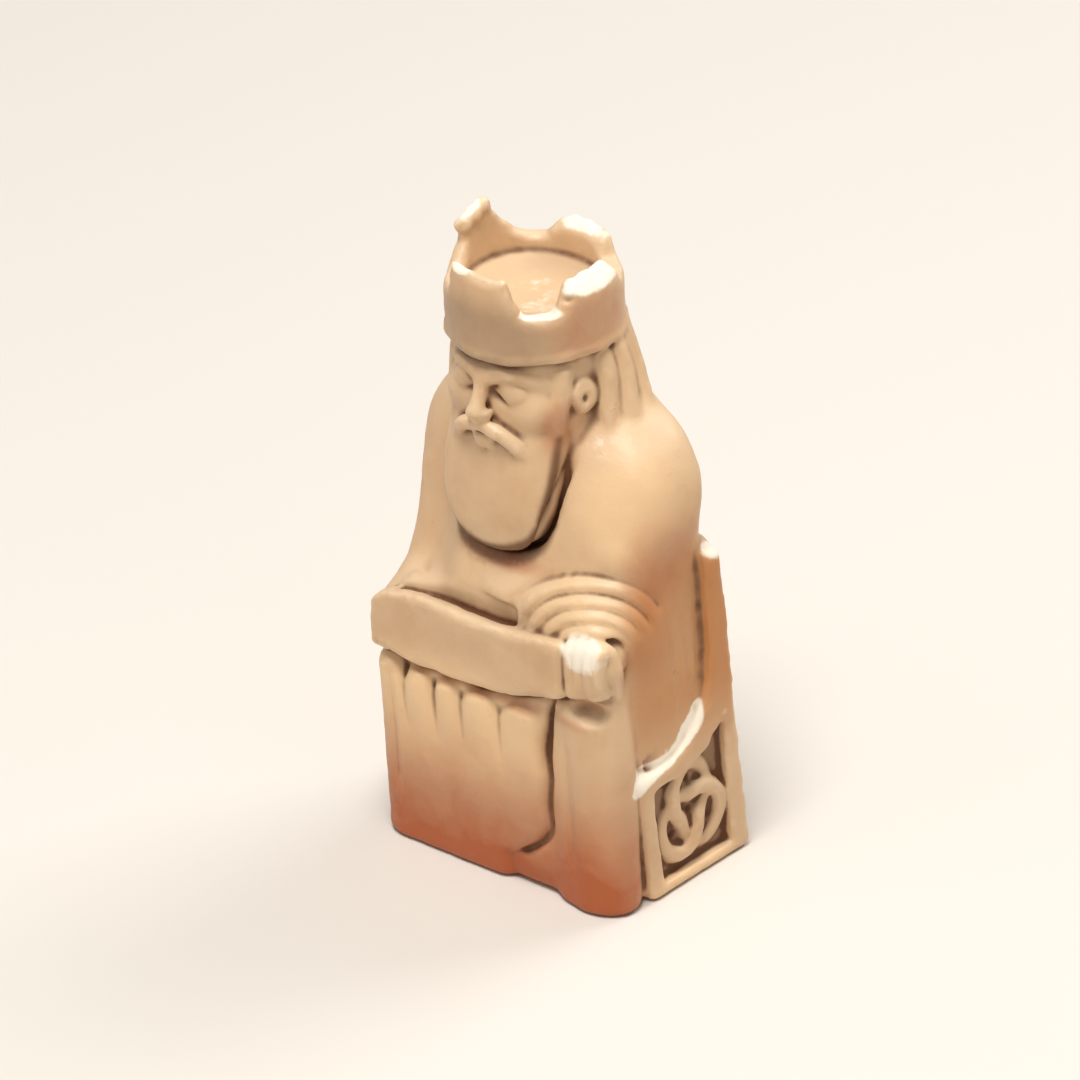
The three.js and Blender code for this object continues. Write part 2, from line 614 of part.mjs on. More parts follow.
function king() {
  const figure = joined([
    core(), robe(), frontCloth(), ...pleats(), leftLeg(),
    ...[trunk(), ...bothSides([mantleSide(), ...mantleFolds()])].map(heldBack), leftSleeve(), ...rightArm(),
    sword(), ...leftFist(), ...rightHand(),
    skull(), ...face(), beard(), ...hair(), crown(), ...leafTip(),
  ]);
  const floor = new THREE.BoxGeometry(3 * WIDTH, 3 * DEPTH, HEIGHT).translate(0, 0, -HEIGHT / 2);
  return cutBy(figure.add(throne()), [floor]);
}

function meshOf(manifold, name, material) {
  const { numProp, vertProperties, triVerts } = manifold.getMesh();
  const geometry = new THREE.BufferGeometry();
  const points = new Float32Array((vertProperties.length / numProp) * 3);
  for (let i = 0; i < points.length; i += 1) {
    points[i] = vertProperties[Math.floor(i / 3) * numProp + (i % 3)];
  }
  geometry.setAttribute("position", new THREE.BufferAttribute(points, 3));
  geometry.setIndex(new THREE.BufferAttribute(new Uint32Array(triVerts), 1));
  const mesh = new THREE.Mesh(geometry, material);
  mesh.name = name;
  return mesh;
}

const castResin = new THREE.MeshStandardMaterial({ color: 0xc8aa87, roughness: 0.5, metalness: 0 });
const piece = new THREE.Group();
piece.add(meshOf(king(), "seated_king", castResin));

export default piece;
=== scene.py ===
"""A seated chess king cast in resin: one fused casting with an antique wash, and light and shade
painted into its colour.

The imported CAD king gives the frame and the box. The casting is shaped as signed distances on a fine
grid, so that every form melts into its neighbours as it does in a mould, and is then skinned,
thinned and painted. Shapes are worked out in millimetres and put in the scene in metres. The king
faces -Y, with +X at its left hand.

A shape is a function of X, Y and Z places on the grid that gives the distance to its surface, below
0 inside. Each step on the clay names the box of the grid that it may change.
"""

from __future__ import annotations

import logging
import math
from dataclasses import dataclass, replace
from enum import Enum
from functools import partial
from typing import Callable, Sequence

import bpy
import numpy as np
from mathutils import Matrix, Vector
from mathutils.bvhtree import BVHTree


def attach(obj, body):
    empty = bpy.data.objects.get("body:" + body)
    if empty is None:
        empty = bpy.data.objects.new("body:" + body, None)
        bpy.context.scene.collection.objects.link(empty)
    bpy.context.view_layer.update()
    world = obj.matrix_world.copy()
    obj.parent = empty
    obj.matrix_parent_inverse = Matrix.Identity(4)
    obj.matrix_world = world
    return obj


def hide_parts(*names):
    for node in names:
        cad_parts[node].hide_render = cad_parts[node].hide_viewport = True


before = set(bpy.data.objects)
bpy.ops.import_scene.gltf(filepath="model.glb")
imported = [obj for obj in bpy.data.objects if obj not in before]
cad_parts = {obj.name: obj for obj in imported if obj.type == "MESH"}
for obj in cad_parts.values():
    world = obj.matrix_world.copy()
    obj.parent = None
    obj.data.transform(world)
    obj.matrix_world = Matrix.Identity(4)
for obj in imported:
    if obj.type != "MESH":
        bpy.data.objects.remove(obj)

log = logging.getLogger("king")
Field = np.ndarray
Shape = Callable[[Field, Field, Field], Field]
Point = Sequence[float]
Line = Sequence[Point]
Box = tuple[Point, Point]
Span = tuple[float, float]
Table = Sequence[Span]
Paint = tuple[int, int, int]
Tint = tuple[float, float, float]

MILLIMETRE = 0.001
WIDTH = 39.0
DEPTH = 24.0
SIDE = WIDTH / 2
FRONT = -DEPTH / 2
BACK = DEPTH / 2
FINE_CELL = 0.25
CLAY_BOX = ((-20.75, -13.25, -1.25), (20.75, 13.25, 81.5))
AIR = 30.0
TINY = 1e-6
EDGE = 20.5
NEAR = -13
FAR = 13


class Hand(Enum):
    """Which side of the king a shape is on, as the sign of its X."""

    LEFT = 1
    RIGHT = -1


def ramp(low: float, high: float, value: Field) -> Field:
    """Smooth step from 0 at low to 1 at high."""
    share = np.clip((value - low) / (high - low), 0, 1)
    return share * share * (3 - 2 * share)


def bell(away: Field, wide: float) -> Field:
    """Smooth bump of height 1, that has faded out two widths away."""
    return np.exp(-((away / wide) ** 2))


def eased(table: Table, place: Field) -> Field:
    """Value at each place on the smooth curve through a rising table.

    Args:
        table: pairs of place and value.
        place: where the values are wanted.

    Returns:
        The values, held level beyond the table's ends.
    """
    marks, values = (np.array(column, float) for column in zip(*table))
    slopes = np.gradient(values, marks)
    slopes[[0, -1]] = 0
    spot = np.clip(place, marks[0], marks[-1])
    i = np.clip(np.searchsorted(marks, spot, side="right") - 1, 0, len(marks) - 2)
    span = marks[i + 1] - marks[i]
    t = (spot - marks[i]) / span
    start = values[i] * (1 + 2 * t) * (1 - t) ** 2 + slopes[i] * span * t * (1 - t) ** 2
    return start + values[i + 1] * t * t * (3 - 2 * t) + slopes[i + 1] * span * t * t * (t - 1)


def steady(value: float) -> Callable[[Field], Field]:
    """The same value at every level.

    Args:
        value: the value.

    Returns:
        It as a function of the level.
    """

    def held(z: Field) -> Field:
        """The value at each level."""
        return value + 0 * z

    return held


def curve(table: Table) -> Callable[[Field], Field]:
    """The smooth curve through a table, as a function of the level."""
    return partial(eased, table)


def wide_box(near: float, low: float, far: float, high: float) -> Box:
    """Box of the grid over the king's whole width."""
    return (-EDGE, near, low), (EDGE, far, high)


def box_round(centre: Point, reach: float) -> Box:
    """Box of the grid round a point."""
    return [c - reach for c in centre], [c + reach for c in centre]


def box_on(hand: Hand, box: Box) -> Box:
    """A box drawn for the left side, put on either side."""
    left, right = sorted((hand.value * box[0][0], hand.value * box[1][0]))
    return (left, *box[0][1:]), (right, *box[1][1:])


def melt(a: Field, b: Field, reach: float) -> Field:
    """Union of two shapes that run together over a reach.

    Args:
        a: distances to the first shape.
        b: distances to the second.
        reach: how far the join is rounded.

    Returns:
        Distances to both as one.
    """
    if reach <= 0:
        return np.minimum(a, b)
    near = np.maximum(reach - np.abs(a - b), 0) / reach
    return np.minimum(a, b) - near * near * reach / 4


def pare(a: Field, b: Field, reach: float) -> Field:
    """What two shapes have in common, with the new edge rounded over a reach."""
    return -melt(-a, -b, reach)


def ball(centre: Point, sizes: Point) -> Shape:
    """Ellipsoid.

    Args:
        centre: its middle.
        sizes: its half size on each axis.

    Returns:
        The ellipsoid.
    """

    def shape(x: Field, y: Field, z: Field) -> Field:
        """Distance to the ellipsoid, true near its surface.

        Args:
            x, y, z: places on the grid.

        Returns:
            The distances.
        """
        p = [(axis - c) / size for axis, c, size in zip((x, y, z), centre, sizes)]
        near = np.sqrt(sum(part * part for part in p)) + TINY
        steep = np.sqrt(sum((part / size) ** 2 for part, size in zip(p, sizes))) + TINY
        return near * (near - 1) / steep

    return shape


def bowed(points: Line, steps: int) -> list[np.ndarray]:
    """Points along the smooth curve through the given ones.

    Args:
        points: where the curve passes.
        steps: points in each stretch.

    Returns:
        The points, with the last of the given ones at the end.
    """
    p = np.array([points[0], *points, points[-1]], float)
    line = []
    for k in range(1, len(p) - 2):
        a, b, c, d = p[k - 1 : k + 3]
        for t in np.linspace(0, 1, steps, endpoint=False):
            line.append(0.5 * (2 * b + (c - a) * t + (2 * a - 5 * b + 4 * c - d) * t**2
                               + (3 * b - a - 3 * c + d) * t**3))
    return [*line, p[-1]]


def rod(points: Line, widths: Sequence[float], squash: Point = (1, 1, 1), steps: int = 5) -> Shape:
    """Rounded limb along a smooth curve.

    Args:
        points: where the curve passes.
        widths: half widths, spread evenly along the curve.
        squash: factor on each axis, to flatten the limb's section.
        steps: straight lengths in each stretch of the curve.

    Returns:
        The limb.
    """
    line = [point / np.array(squash) for point in bowed(points, steps)]
    marks = np.linspace(0, 1, len(widths))
    reach = np.interp(np.linspace(0, 1, len(line)), marks, widths)

    def shape(x: Field, y: Field, z: Field) -> Field:
        """Distance to the nearest length of the limb.

        Args:
            x, y, z: places on the grid.

        Returns:
            The distances.
        """
        p = [axis / factor for axis, factor in zip((x, y, z), squash)]
        best = None
        for k in range(len(line) - 1):
            a, along = line[k], line[k + 1] - line[k]
            run = sum((axis - start) * part for axis, start, part in zip(p, a, along))
            t = np.clip(run / max(along @ along, 1e-9), 0, 1)
            off = ((axis - start - t * part) ** 2 for axis, start, part in zip(p, a, along))
            gap = np.sqrt(sum(off)) - (reach[k] + (reach[k + 1] - reach[k]) * t)
            best = gap if best is None else np.minimum(best, gap)
        return best * min(squash)

    return shape


def loft(width: Callable, near: Callable, far: Callable, levels: Span, square: Span,
         rounding: float) -> Shape:
    """Upright body whose rounded outline changes with its level.

    Args:
        width: half width from the level.
        near: Y of the front from the level.
        far: Y of the back from the level.
        levels: lowest and highest level.
        square: squareness of the outline in front and behind, where 2 is an ellipse.
        rounding: rounding of the two ends.

    Returns:
        The body.
    """

    def shape(x: Field, y: Field, z: Field) -> Field:
        """Distance to the body.

        Args:
            x, y, z: places on the grid.

        Returns:
            The distances.
        """
        level = np.clip(z, *levels)
        half, front, rear = width(level), near(level), far(level)
        middle, deep = (front + rear) / 2, (rear - front) / 2
        power = np.where(y > middle, square[1], square[0])
        u, v = np.abs(x) / half, np.abs(y - middle) / deep
        spread = np.maximum((u**power + v**power) ** (1 / power), 1e-3)
        steep = np.hypot((u / spread) ** (power - 1) / half, (v / spread) ** (power - 1) / deep)
        sides = (spread - 1) / np.maximum(steep, 1e-4)
        ends = np.abs(z - (levels[0] + levels[1]) / 2) - (levels[1] - levels[0]) / 2
        return pare(sides, ends + 0 * sides, rounding)

    return shape


def outline_gap(u: Field, v: Field, outline: Table) -> Field:
    """Signed distance in a plane to a closed outline.

    Args:
        u: places along the plane's first axis.
        v: places along its second.
        outline: corners of the outline.

    Returns:
        The distances, negative inside.
    """
    corners = np.array(outline, float)
    gap, inside = None, None
    for a, b in zip(corners, np.roll(corners, -1, axis=0)):
        eu, ev = b - a
        wu, wv = u - a[0], v - a[1]
        t = np.clip((wu * eu + wv * ev) / max(eu * eu + ev * ev, 1e-9), 0, 1)
        reach = (wu - eu * t) ** 2 + (wv - ev * t) ** 2
        gap = reach if gap is None else np.minimum(gap, reach)
        above, below = v >= a[1], v >= b[1]
        turn = eu * wv - ev * wu
        cross = (above & ~below & (turn < 0)) | (~above & below & (turn > 0))
        inside = cross if inside is None else inside ^ cross
    return np.where(inside, -1, 1) * np.sqrt(gap)


def slab(flat: Field, across: Field, half: float, rounding: float) -> Field:
    """Plate whose face is a flat outline.

    Args:
        flat: distance to the outline in its plane.
        across: place across the plate, from its middle.
        half: half the plate's thickness.
        rounding: radius of the plate's edges.

    Returns:
        Distances to the plate.
    """
    a, b = flat + rounding, np.abs(across) - half + rounding
    outside = np.hypot(np.maximum(a, 0), np.maximum(b, 0))
    return outside + np.minimum(np.maximum(a, b), 0) - rounding


@dataclass(frozen=True)
class Lump:
    """An ellipsoid of clay, with the box that it may change and how far its edge melts."""

    centre: Point
    sizes: Point
    box: Box
    blend: float

    def shape(self) -> Shape:
        """The ellipsoid."""
        return ball(self.centre, self.sizes)

    def on(self, hand: Hand) -> Lump:
        """The same lump on either side of the king."""
        x, y, z = self.centre
        return replace(self, centre=(hand.value * x, y, z), box=box_on(hand, self.box))


@dataclass(frozen=True)
class Limb:
    """A limb of clay along a curve, with the box that it may change and how far its edge melts."""

    line: Line
    widths: Sequence[float]
    box: Box
    blend: float
    squash: Point = (1, 1, 1)

    def shape(self) -> Shape:
        """The limb."""
        return rod(self.line, self.widths, self.squash)

    def on(self, hand: Hand) -> Limb:
        """The same limb on either side of the king."""
        line = [(hand.value * x, y, z) for x, y, z in self.line]
        return replace(self, line=line, box=box_on(hand, self.box))


class Clay:
    """A block of clay: signed distances to the surface on a regular grid, in millimetres."""

    PRESS_SLOPE = 0.75
    MISSED = -99.0
    RAY_LENGTH = 60
    SETTLING_ROUNDS = 8
    FILL = -0.01

    def __init__(self, box: Box, cell: float) -> None:
        """Starts an empty block.

        Args:
            box: the block's low and high corners.
            cell: the grid's pitch.
        """
        self.cell = cell
        self.axes = [np.arange(a, b + cell, cell, dtype=np.float32) for a, b in zip(*box)]
        self.field = np.full([len(axis) for axis in self.axes], AIR, np.float32)

    def window(self, box: Box) -> tuple[tuple[slice, ...], list[Field]]:
        """Part of the grid in a box.

        Args:
            box: its low and high corners.

        Returns:
            The part's slices and its X, Y and Z places.
        """
        cut, places = [], []
        for k, axis in enumerate(self.axes):
            first, last = np.searchsorted(axis, (box[0][k], box[1][k]))
            cut.append(slice(int(first), int(last)))
            lined = [1, 1, 1]
            lined[k] = -1
            places.append(axis[first:last].reshape(lined))
        return tuple(cut), places

    def add(self, shape: Shape, box: Box, blend: float) -> None:
        """Adds a shape, melted into what is there over a blend."""
        cut, places = self.window(box)
        self.field[cut] = melt(self.field[cut], shape(*places).astype(np.float32), blend)

    def cut(self, shape: Shape, box: Box, blend: float) -> None:
        """Takes a shape away, with its edges rounded over a blend."""
        cut, places = self.window(box)
        self.field[cut] = pare(self.field[cut], -shape(*places).astype(np.float32), blend)

    def push(self, amount: Shape, box: Box) -> None:
        """Moves the surface outward by an amount, or inward where it is negative."""
        cut, places = self.window(box)
        self.field[cut] -= amount(*places).astype(np.float32)

    def put(self, *forms: Lump | Limb) -> None:
        """Adds lumps and limbs, one after the other."""
        for form in forms:
            self.add(form.shape(), form.box, form.blend)

    def dig(self, *forms: Lump | Limb) -> None:
        """Takes lumps and limbs away, one after the other."""
        for form in forms:
            self.cut(form.shape(), form.box, form.blend)

    def press(self, mesh: bpy.types.Mesh, facing: Point, blend: float = 0.12,
              under: float = 1.6) -> None:
        """Adds the side of a mesh that faces out of the clay, as a mould would.

        Args:
            mesh: what is added, in metres.
            facing: unit direction along one axis, out of the clay.
            blend: how far it runs into what is there.
            under: how far below its face the mesh is filled.
        """
        points = np.empty(len(mesh.vertices) * 3)
        mesh.vertices.foreach_get("co", points)
        points = points.reshape(-1, 3) / MILLIMETRE
        faces = [tuple(face.vertices) for face in mesh.polygons]
        tree = BVHTree.FromPolygons([Vector(p) for p in points], faces)
        axis, sign = int(np.argmax(np.abs(facing))), float(sum(facing))
        cut, places = self.window((points.min(0) - 1, points.max(0) + 1))
        u, v = (k for k in range(3) if k != axis)
        start, aim = (points[:, axis] * sign).max() + 1, Vector([-part for part in facing])
        tops = np.full((places[u].size, places[v].size), self.MISSED)
        for i, j in np.ndindex(tops.shape):
            spot = [0.0, 0.0, 0.0]
            spot[axis] = start * sign
            spot[u], spot[v] = float(places[u].flat[i]), float(places[v].flat[j])
            hit = tree.ray_cast(Vector(spot), aim, self.RAY_LENGTH)[0]
            if hit is not None:
                tops[i, j] = hit[axis] * sign
        tops = np.expand_dims(tops, axis)
        height = places[axis] * sign
        gaps = np.maximum((height - tops) * self.PRESS_SLOPE, tops - under - height)
        self.field[cut] = melt(self.field[cut], gaps.astype(np.float32), blend)

    def blurred(self, values: Field, spread: float) -> Field:
        """Values averaged over their neighbourhood.

        Args:
            values: one value for each place on the grid.
            spread: width of the averaging bell, in millimetres.

        Returns:
            The averaged values.
        """
        reach = max(1, round(2.5 * spread / self.cell))
        weights = np.exp(-0.5 * (np.arange(-reach, reach + 1) * self.cell / spread) ** 2)
        weights /= weights.sum()
        for axis in range(3):
            margins = [(reach, reach) if k == axis else (0, 0) for k in range(3)]
            padded = np.pad(values, margins, mode="edge")
            size = values.shape[axis]
            total = np.zeros_like(values)
            for k, weight in enumerate(weights):
                total += np.float32(weight) * padded.take(range(k, k + size), axis=axis)
            values = total
        return values

    def fullness(self, spread: float) -> Field:
        """Share of clay round each place, less its value at a flat surface.

        Args:
            spread: how far round each place the clay is weighed.

        Returns:
            Values above 0 in hollows and below 0 on edges.
        """
        filled = np.clip(0.5 - self.field / (2 * self.cell), 0, 1)
        flat = 0.5 - np.clip(self.field / (spread * math.sqrt(2 * math.pi)), -0.5, 0.5)
        return self.blurred(filled, spread) - flat

    def grain(self, pitch: float, seed: int) -> Field:
        """Smooth random values on the whole grid.

        Args:
            pitch: size of the bumps.
            seed: which of the random patterns.

        Returns:
            Values of about -1 to 1.
        """
        counts = [int((axis[-1] - axis[0]) / pitch) + 3 for axis in self.axes]
        values = np.random.default_rng(seed).uniform(-1, 1, counts).astype(np.float32)
        for k, axis in enumerate(self.axes):
            place = (axis - axis[0]) / pitch
            whole = place.astype(int)
            part = (place - whole).astype(np.float32)
            part = (part * part * (3 - 2 * part)).reshape([-1 if j == k else 1 for j in range(3)])
            low, high = values.take(whole, axis=k), values.take(whole + 1, axis=k)
            values = low * (1 - part) + high * part
        return values

    def sampled(self, values: Field, points: Field) -> Field:
        """Values of a grid at free points.

        Args:
            values: one value for each place on the grid.
            points: where the values are wanted, in millimetres.

        Returns:
            One value for each point.
        """
        place = [(points[:, k] - self.axes[k][0]) / self.cell for k in range(3)]
        base = [np.clip(p.astype(int), 0, values.shape[k] - 2) for k, p in enumerate(place)]
        part = [np.clip(p - b, 0, 1) for p, b in zip(place, base)]
        total = np.zeros(len(points))
        for corner in np.ndindex(2, 2, 2):
            weight = np.prod([part[k] if corner[k] else 1 - part[k] for k in range(3)], axis=0)
            total += weight * values[tuple(base[k] + corner[k] for k in range(3))]
        return total

    def settle(self) -> None:
        """Fills the spots where the clay would touch itself along one edge only.

        The skin closes on itself without them.
        """
        for _ in range(self.SETTLING_ROUNDS):
            spots = 0
            for axis in range(3):
                turned = np.moveaxis(self.field, ((axis + 1) % 3, (axis + 2) % 3), (0, 1))
                corners = turned[:-1, :-1], turned[1:, 1:], turned[:-1, 1:], turned[1:, :-1]
                a, b, c, d = (corner < 0 for corner in corners)
                crossings = (a & b & ~c & ~d, corners[2:]), (c & d & ~a & ~b, corners[:2])
                for mask, pair in crossings:
                    spots += int(mask.sum())
                    for corner in pair:
                        corner[mask] = self.FILL
            if not spots:
                break

    def skinned(self) -> tuple[Field, Field]:
        """Skin of the clay.

        Returns:
            Its points in millimetres and its four-cornered faces.
        """
        inside = self.field < 0
        cells = tuple(size - 1 for size in self.field.shape)
        corners = list(np.ndindex(2, 2, 2))
        cuts = [tuple(slice(c, c + n) for c, n in zip(corner, cells)) for corner in corners]
        count = sum(inside[cut].astype(np.int8) for cut in cuts)
        active = np.argwhere((count > 0) & (count < len(corners)))
        levels = {corner: self.field[tuple((active + corner).T)] for corner in corners}
        total, hits = np.zeros(active.shape), np.zeros(len(active))
        for a in corners:
            for axis in range(3):
                if a[axis]:
                    continue
                b = tuple(1 if k == axis else c for k, c in enumerate(a))
                crossed = (levels[a] < 0) != (levels[b] < 0)
                share = levels[a] / np.where(crossed, levels[a] - levels[b], 1)
                for k in range(3):
                    total[:, k] += np.where(crossed, a[k] + (share if k == axis else 0), 0)
                hits += crossed
        starts = np.array([axis[0] for axis in self.axes])
        points = starts + (active + total / hits[:, None]) * self.cell
        index = np.full(cells, -1, np.int32)
        index[tuple(active.T)] = np.arange(len(active))
        return points, np.concatenate([self.faces_across(axis, index) for axis in range(3)])

    def faces_across(self, axis: int, index: Field) -> Field:
        """Faces of the skin that cross the grid's edges along one axis.

        Args:
            axis: which axis.
            index: the skin's point in each cell.

        Returns:
            Four point numbers for each face, turned to face outwards.
        """
        inside = self.field < 0
        u, v = (axis + 1) % 3, (axis + 2) % 3
        low = np.moveaxis(inside, axis, 0)[:-1]
        high = np.moveaxis(inside, axis, 0)[1:]
        edges = np.argwhere(np.moveaxis(low != high, 0, axis))
        edges = edges[(edges[:, u] > 0) & (edges[:, v] > 0)]
        ring = []
        for du, dv in ((1, 1), (0, 1), (0, 0), (1, 0)):
            cell = edges.copy()
            cell[:, u] -= du
            cell[:, v] -= dv
            ring.append(index[tuple(cell.T)])
        quads = np.stack(ring, 1)
        outward = inside[tuple(edges.T)]
        return np.where(outward[:, None], quads, quads[:, ::-1])


def run_tree(name: str, build: Callable[[Tree], None], values: dict[str, float]) -> bpy.types.Mesh:
    """Runs one Geometry Nodes tree and keeps its result as a plain mesh.

    Args:
        name: name of the piece.
        build: fills the tree.
        values: what the tree's inputs are set to.

    Returns:
        The mesh, in metres.
    """
    tree = Tree(name)
    build(tree)
    holder = bpy.data.objects.new(name, bpy.data.meshes.new(name))
    bpy.context.scene.collection.objects.link(holder)
    modifier = holder.modifiers.new(name, "NODES")
    modifier.node_group = tree.group
    for item in tree.group.interface.items_tree:
        if item.item_type == "SOCKET" and item.in_out == "INPUT" and item.name in values:
            modifier[item.identifier] = values[item.name]
    return evaluated(holder)


def evaluated(holder: bpy.types.Object) -> bpy.types.Mesh:
    """Turns an object and its modifiers into a plain mesh, and removes the object.

    Args:
        holder: the object.

    Returns:
        The mesh.
    """
    bpy.context.view_layer.update()
    final = holder.evaluated_get(bpy.context.evaluated_depsgraph_get())
    mesh = bpy.data.meshes.new_from_object(final)
    bpy.data.objects.remove(holder)
    return mesh


class Wire:
    """A node's output socket, with the maths that a tree needs written as operators."""

    def __init__(self, nodes: NodeMaker, socket: bpy.types.NodeSocket) -> None:
        """Wraps one output socket."""
        self.nodes = nodes
        self.socket = socket

    def math(self, operation: str, *others: object) -> Wire:
        """Result of one Math node on this value and others."""
        sockets = {0: self, **dict(enumerate(others, 1))}
        return self.nodes.node("ShaderNodeMath", {"operation": operation}, sockets)

    def __add__(self, other: object) -> Wire:
        """Sum."""
        return self.math("ADD", other)

    __radd__ = __add__

    def __sub__(self, other: object) -> Wire:
        """Difference."""
        return self.math("SUBTRACT", other)

    def __rsub__(self, other: object) -> Wire:
        """Difference from a number."""
        return (self * -1) + other

    def __mul__(self, other: object) -> Wire:
        """Product."""
        return self.math("MULTIPLY", other)

    __rmul__ = __mul__

    def __truediv__(self, other: object) -> Wire:
        """Quotient."""
        return self.math("DIVIDE", other)

    def clamped(self) -> Wire:
        """This value held between 0 and 1."""
        return self.math("MINIMUM", 1.0).math("MAXIMUM", 0.0)

    def step(self, low: float, high: float) -> Wire:
        """Smooth step of this value from 0 at low to 1 at high."""
        return self.nodes.node("ShaderNodeMapRange", {"interpolation_type": "SMOOTHSTEP"}, {
            "Value": self, "From Min": low, "From Max": high})


class NodeMaker:
    """Makes the nodes of one tree."""

    def __init__(self, tree: bpy.types.NodeTree) -> None:
        """Starts on a node tree."""
        self.tree = tree

    def node(self, kind: str, settings: dict[str, object] | None = None,
             sockets: dict[str | int, object] | None = None, output: str | int = 0) -> Wire:
        """Adds one node.

        Args:
            kind: the node's type.
            settings: its own properties, set first.
            sockets: values or wires for its inputs, by name or place.
            output: the output wanted, by name or place.

        Returns:
            The output as a wire.
        """
        made = self.tree.nodes.new(kind)
        for key, value in (settings or {}).items():
            setattr(made, key, value)
        for key, value in (sockets or {}).items():
            if isinstance(value, Wire):
                self.tree.links.new(value.socket, made.inputs[key])
            else:
                made.inputs[key].default_value = value
        return Wire(self, made.outputs[output])


class Tree(NodeMaker):
    """A Geometry Nodes tree that makes one piece from named sizes."""

    def __init__(self, name: str) -> None:
        """Starts an empty tree with a geometry output.

        Args:
            name: the tree's name.
        """
        self.group = bpy.data.node_groups.new(name, "GeometryNodeTree")
        super().__init__(self.group)
        self.group.interface.new_socket(
            "Geometry", in_out="OUTPUT", socket_type="NodeSocketGeometry")

    def sizes(self, names: Sequence[str]) -> list[Wire]:
        """Adds named number inputs.

        Args:
            names: the inputs' names.

        Returns:
            A wire from each.
        """
        for name in names:
            self.group.interface.new_socket(name, in_out="INPUT", socket_type="NodeSocketFloat")
        entry = self.group.nodes.new("NodeGroupInput")
        return [Wire(self, entry.outputs[name]) for name in names]

    def finish(self, geometry: Wire) -> None:
        """Realizes the result and sends it out, with no material, as it goes into the clay.

        Args:
            geometry: the piece.
        """
        real = self.node("GeometryNodeRealizeInstances", None, {"Geometry": geometry})
        dressed = self.node("GeometryNodeSetMaterial", None, {"Geometry": real, "Material": None})
        out = self.group.nodes.new("NodeGroupOutput")
        self.group.links.new(dressed.socket, out.inputs[0])


@dataclass
class Knot:
    """A closed strap that winds round its middle in waves and laces over and under itself."""

    name: str
    half_width: float
    half_height: float
    turns: int = 2
    waves: int = 3
    strap_width: float = 2.0
    strap_height: float = 1.7
    rise: float = 0.4
    groove: float = 0.25
    groove_focus: float = 9
    steps: int = 280
    section: int = 20
    hole_share: float = 1.5

    def tree(self, nodes: Tree) -> None:
        """Lays a strap of grooved section along the laced path, flat in X-Y and facing +Z.

        Args:
            nodes: the tree that is filled.
        """
        half_width, half_height, turns, waves, width, height, rise, groove = nodes.sizes((
            "Half width", "Half height", "Turns", "Waves", "Strap width", "Strap height", "Rise",
            "Groove"))
        index = nodes.node("GeometryNodeInputIndex")
        turn = index * (math.tau / self.steps)
        reach = ((turn * waves).math("COSINE") + 2) / 3
        place = nodes.node("ShaderNodeCombineXYZ", None, {
            0: (turn * turns).math("COSINE") * reach * half_width,
            1: (turn * turns).math("SINE") * reach * half_height,
            2: (turn * waves).math("SINE") * rise})
        ring = nodes.node("GeometryNodeCurvePrimitiveCircle", None, {
            "Resolution": self.steps, "Radius": 1.0})
        path = nodes.node("GeometryNodeSetPosition", None, {"Geometry": ring, "Position": place})
        path = nodes.node("GeometryNodeSetCurveNormal", {"mode": "Z_UP"}, {"Curve": path})
        around = index * (math.tau / self.section)
        across = around.math("COSINE")
        full = 1 - (across * across * -self.groove_focus).math("EXPONENT") * groove
        edge = nodes.node("ShaderNodeCombineXYZ", None, {
            0: across * width * 0.5, 1: around.math("SINE") * height * full * 0.5})
        section = nodes.node("GeometryNodeCurvePrimitiveCircle", None, {
            "Resolution": self.section, "Radius": 1.0})
        section = nodes.node("GeometryNodeSetPosition", None, {
            "Geometry": section, "Position": edge})
        nodes.finish(nodes.node("GeometryNodeCurveToMesh", None, {
            "Curve": path, "Profile Curve": section}))

    def made(self, place: Matrix) -> bpy.types.Mesh:
        """The strap as a mesh, put in its panel.

        Args:
            place: the panel's place, in millimetres.

        Returns:
            The mesh, in metres.
        """
        mesh = run_tree(self.name, self.tree, {
            "Half width": (self.half_width - self.strap_width / 2) * MILLIMETRE,
            "Half height": (self.half_height - self.strap_width / 2) * MILLIMETRE,
            "Turns": float(self.turns), "Waves": float(self.waves),
            "Rise": self.rise * MILLIMETRE, "Groove": self.groove,
            "Strap width": self.strap_width * MILLIMETRE,
            "Strap height": self.strap_height * MILLIMETRE})
        mesh.transform(Matrix.Scale(MILLIMETRE, 4) @ place @ Matrix.Scale(1 / MILLIMETRE, 4))
        return mesh

    def gaps(self) -> list[Span]:
        """Places of the drilled holes between the straps.

        Returns:
            The middle and one hole in each lobe, in the knot's own plane.
        """
        wide = self.half_width - self.strap_width / 2
        high = self.half_height - self.strap_width / 2
        turns = [k / self.waves * math.tau for k in range(self.waves)]
        return [(0.0, 0.0), *((math.cos(turn) * wide / self.hole_share,
                               math.sin(turn) * high / self.hole_share) for turn in turns)]


